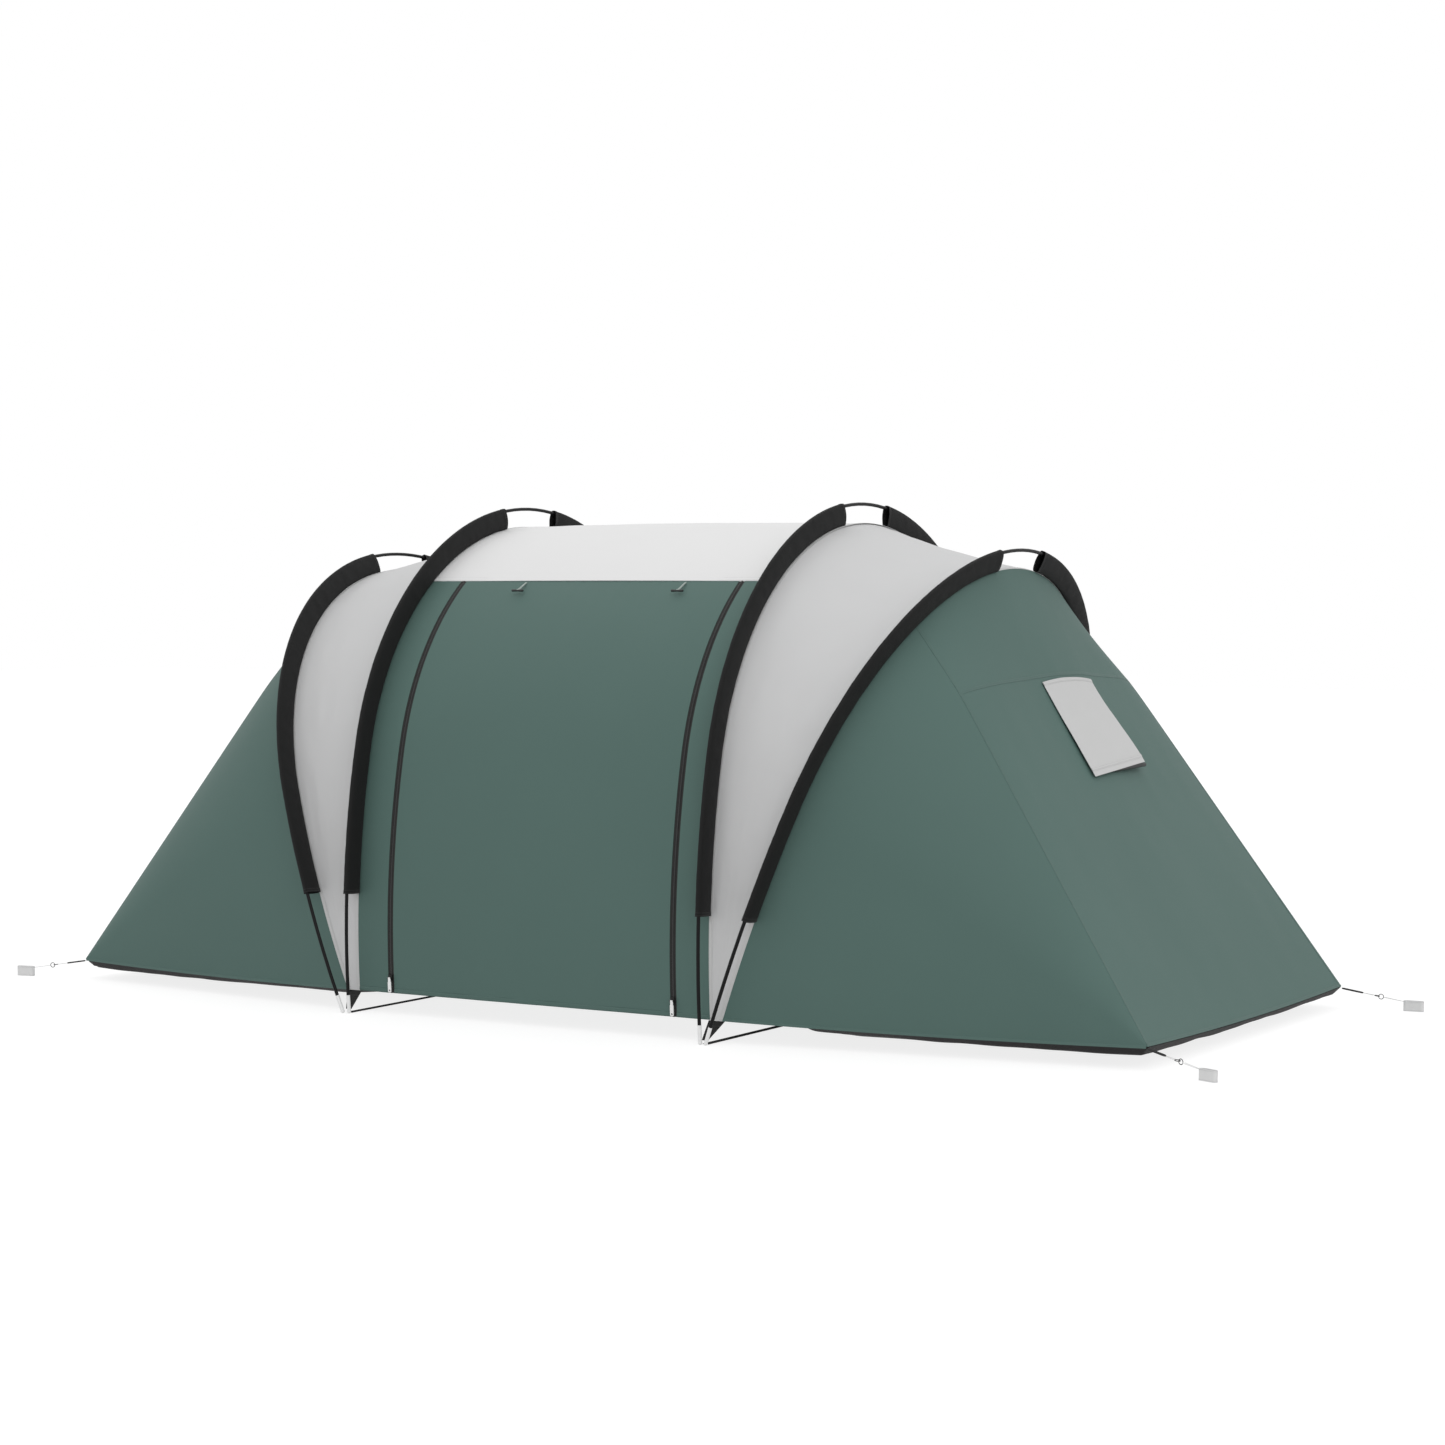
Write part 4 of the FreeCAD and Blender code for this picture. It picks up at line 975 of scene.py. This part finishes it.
for corner in tether["headings"]:
    place = tetherFrame(corner)
    title = "".join(word.title() for word in corner.split("_"))
    half = tether["loopHalf"]
    loopPoints = [place @ onTether(along, across) for along, across in (
        (0.004, -half * 0.2), (0.012, -half), (0.030, -half), (0.050, -half), (0.066, -half), (0.0725, 0),
        (0.066, half), (0.050, half), (0.030, half), (0.012, half), (0.004, half * 0.2))]
    loopPiece = softTube("tetherLoop" + title, loopPoints, tether["loopRadius"], "elastic", "tent", closed=True)
    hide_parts("tether_loops")
    band = clothPiece("tetherBand" + title, lambda u, v: place @ bandPlace(u, v), (0.152, 0.034), (90, 12), "band",
                      inside=place @ Vector((0.237, 0, 0.017)), thickness=tether["bandWall"], weld=True)
    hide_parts("tether_band_" + corner)
    for label, (start, end) in (("First", tether["firstCord"]), ("Second", tether["secondCord"])):
        across = tether["cordHalf"]
        route = [place @ onTether(start, -across), place @ onTether(end, -across), place @ onTether(end, across),
                 place @ onTether(start, across)]
        cord = softTube("tetherCord" + label + title, route, tether["cordRadius"], "cord", "tent")
        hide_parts("tether_cord_" + corner)
        tuple(route[0])
print("tethers done")

# inner tents

lining = {"inset": 0.132, "foot": 0.072, "endX": 1.860, "endHalf": 0.690, "endHeight": 0.150, "doorHalf": 0.350,
          "doorFoot": 0.130, "doorTop": 1.250, "doorGap": 0.002}
liningLow = alongAtHeight(outerArch, lining["foot"], lining["inset"])


def liningArch(v):
    return onArch(outerArch, liningLow + v * (outerArch["length"] - 2 * liningLow), lining["inset"])


def liningEnd(v):
    angle = math.pi * v
    return Vector((lining["endX"], -lining["endHalf"] * math.cos(angle),
                   lining["foot"] + (lining["endHeight"] - lining["foot"]) * math.sin(angle)))


def liningRoof(u, v):
    sag = 0.012 * math.sin(math.pi * u) * math.sin(math.pi * v)
    return liningArch(v).lerp(liningEnd(v), u) - Vector((0, 0, sag))


def onPartition(y, up):
    return Vector((outerArch["footX"] + up * math.sin(outerArch["lean"]), y, up * math.cos(outerArch["lean"])))


def partitionPlace(u, v):  # u from the foot to the crown of the arch, v from the near to the far side
    low = liningArch(u / 2)
    high = liningArch(1 - u / 2)
    return low.lerp(high, v)


def cutDoorway(sideX):
    upward = Vector((math.sin(outerArch["lean"]) * sideX, 0, math.cos(outerArch["lean"])))
    start = Vector((outerArch["footX"] * sideX, 0, 0))
    planes = [
        (Vector((0, -lining["doorHalf"], 0)), Vector((0, 1, 0))),
        (Vector((0, lining["doorHalf"], 0)), Vector((0, 1, 0))),
        (start + upward * lining["doorFoot"], upward),
        (start + upward * lining["doorTop"], upward),
    ]

    def cut(bm):
        for point, normal in planes:
            bmesh.ops.bisect_plane(bm, geom=bm.verts[:] + bm.edges[:] + bm.faces[:],
                                   plane_co=point, plane_no=normal)
        hole = []
        for face in bm.faces:
            centre = face.calc_center_median()
            up = (centre - start).dot(upward)
            if abs(centre.y) < lining["doorHalf"] and lining["doorFoot"] < up < lining["doorTop"]:
                hole.append(face)
        bmesh.ops.delete(bm, geom=hole, context="FACES")
    return cut


def innerDoorPlace(u, v):
    half = lining["doorHalf"] - lining["doorGap"]
    low = lining["doorFoot"] + lining["doorGap"]
    high = lining["doorTop"] - lining["doorGap"]
    wave = 0.002 * ripple(u * 5, v * 3, 99.0) * inner(u, v)
    return onPartition((2 * u - 1) * half, low + v * (high - low)) + archAcross(outerArch) * wave


for side, sideX in sides.items():
    title = side.title()
    middle = Vector((1.3 * sideX, 0, 0.2))
    room = clothPiece("liningRoof" + title, mirrored(liningRoof, sideX), (1.2, 3.0), (50, 90), "lining",
                      inside=middle)
    wall = clothPiece("liningWall" + title, mirrored(partitionPlace, sideX), (1.4, 1.8), (50, 50), "lining",
                      inside=middle, cut=cutDoorway(sideX), weld=True)
    low = clothPiece("liningEnd" + title,
                     mirrored(lambda u, v: liningEnd(u / 2).lerp(liningEnd(1 - u / 2), v), sideX), (0.1, 1.4),
                     (8, 40), "lining", inside=middle, weld=True)
    door = clothPiece("liningDoor" + title, mirrored(innerDoorPlace, sideX), (0.696, 1.116), (40, 60), "lining",
                      "inner_door_" + side, inside=middle)
    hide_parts("inner_tent_" + side)
    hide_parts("inner_door_" + side)
print("inner tents done")

# frame parts that keep their shape

keptNodes = {"pole_ferrules": "ferrule", "pole_tips": "tip", "shock_cords": "shockCord", "tether_rings": "ring"}
for side in sides:
    keptNodes["pole_inner_" + side] = "rod"
    keptNodes["pole_outer_" + side] = "rod"
    keptNodes["zip_slider_" + side] = "slider"
    keptNodes["zip_puller_" + side] = "puller"
    keptNodes["vent_prop_" + side] = "toggle"
for node, material in keptNodes.items():
    for materialSlot in bpy.data.objects[node].material_slots:
        materialSlot.material = materials[material]
print("frame parts finished:", len(keptNodes))

# floor, light and camera

studio = {"floorSize": 60.0, "floorColour": (0.22, 0.22, 0.22), "floorGlow": (0.46, 0.82), "skyTop": 1.16,
          "skyLow": 0.60,
          "keyPlace": (7.0, -6.0, 6.0), "keySize": 5.0, "keyPower": 90.0}
bm = bmesh.new()
bmesh.ops.create_grid(bm, x_segments=1, y_segments=1, size=studio["floorSize"] / 2)
bmesh.ops.translate(bm, verts=bm.verts, vec=(0, 0, -0.0005))
floorMesh = bpy.data.meshes.new("floor")
bm.to_mesh(floorMesh)
bm.free()
floorMaterial, floorTree, floorShader = nodeMaterial("floorPale")
floorShader.inputs["Base Color"].default_value = studio["floorColour"] + (1.0,)
floorShader.inputs["Roughness"].default_value = 0.9
floorShader.inputs["Emission Color"].default_value = (1, 1, 1, 1)
floorPath = addNode(floorTree, "ShaderNodeLightPath")
floorSeen = addNode(floorTree, "ShaderNodeMix", {0: floorPath.outputs["Is Camera Ray"], 2: studio["floorGlow"][0],
                                                 3: studio["floorGlow"][1]})
floorTree.links.new(floorSeen.outputs[0], floorShader.inputs["Emission Strength"])
floorMesh.materials.append(floorMaterial)
floor = bpy.data.objects.new("floor", floorMesh)
scene.collection.objects.link(floor)

world = bpy.data.worlds.new("studio")
world.use_nodes = True
scene.world = world
# a soft box overhead: brighter from above than from the sides, and plain white behind the tent
sky = world.node_tree
background = sky.nodes["Background"]
ray = addNode(sky, "ShaderNodeTexCoord")
height = addNode(sky, "ShaderNodeSeparateXYZ", {0: ray.outputs["Generated"]})
lift = addNode(sky, "ShaderNodeMapRange", {0: height.outputs[2], 1: 0.0, 2: 1.0, 3: studio["skyLow"],
                                           4: studio["skyTop"]})
path = addNode(sky, "ShaderNodeLightPath")
seen = addNode(sky, "ShaderNodeMix", {0: path.outputs["Is Camera Ray"], 2: lift.outputs[0], 3: 1.0})
sky.links.new(seen.outputs[0], background.inputs[1])
background.inputs[0].default_value = (1, 1, 1, 1)

keyLight = bpy.data.lights.new("key", "AREA")
keyLight.energy = studio["keyPower"]
keyLight.size = studio["keySize"]
key = bpy.data.objects.new("key", keyLight)
key.location = studio["keyPlace"]
key.rotation_euler = (Vector((0, 0, 0.6)) - key.location).to_track_quat("-Z", "Y").to_euler()
scene.collection.objects.link(key)

view = {"place": (5.5231, -8.8893, 1.3694), "turn": 31.28, "down": 2.52, "lens": 77.79}
cameraData = bpy.data.cameras.new("camera")
cameraData.lens = view["lens"]
cameraData.sensor_width = 36.0
cameraData.clip_end = 200.0
camera = bpy.data.objects.new("camera", cameraData)
camera.location = view["place"]
camera.rotation_euler = (math.radians(90 - view["down"]), 0, math.radians(view["turn"]))
scene.collection.objects.link(camera)
scene.camera = camera
print("studio ready")

bpy.context.view_layer.update()
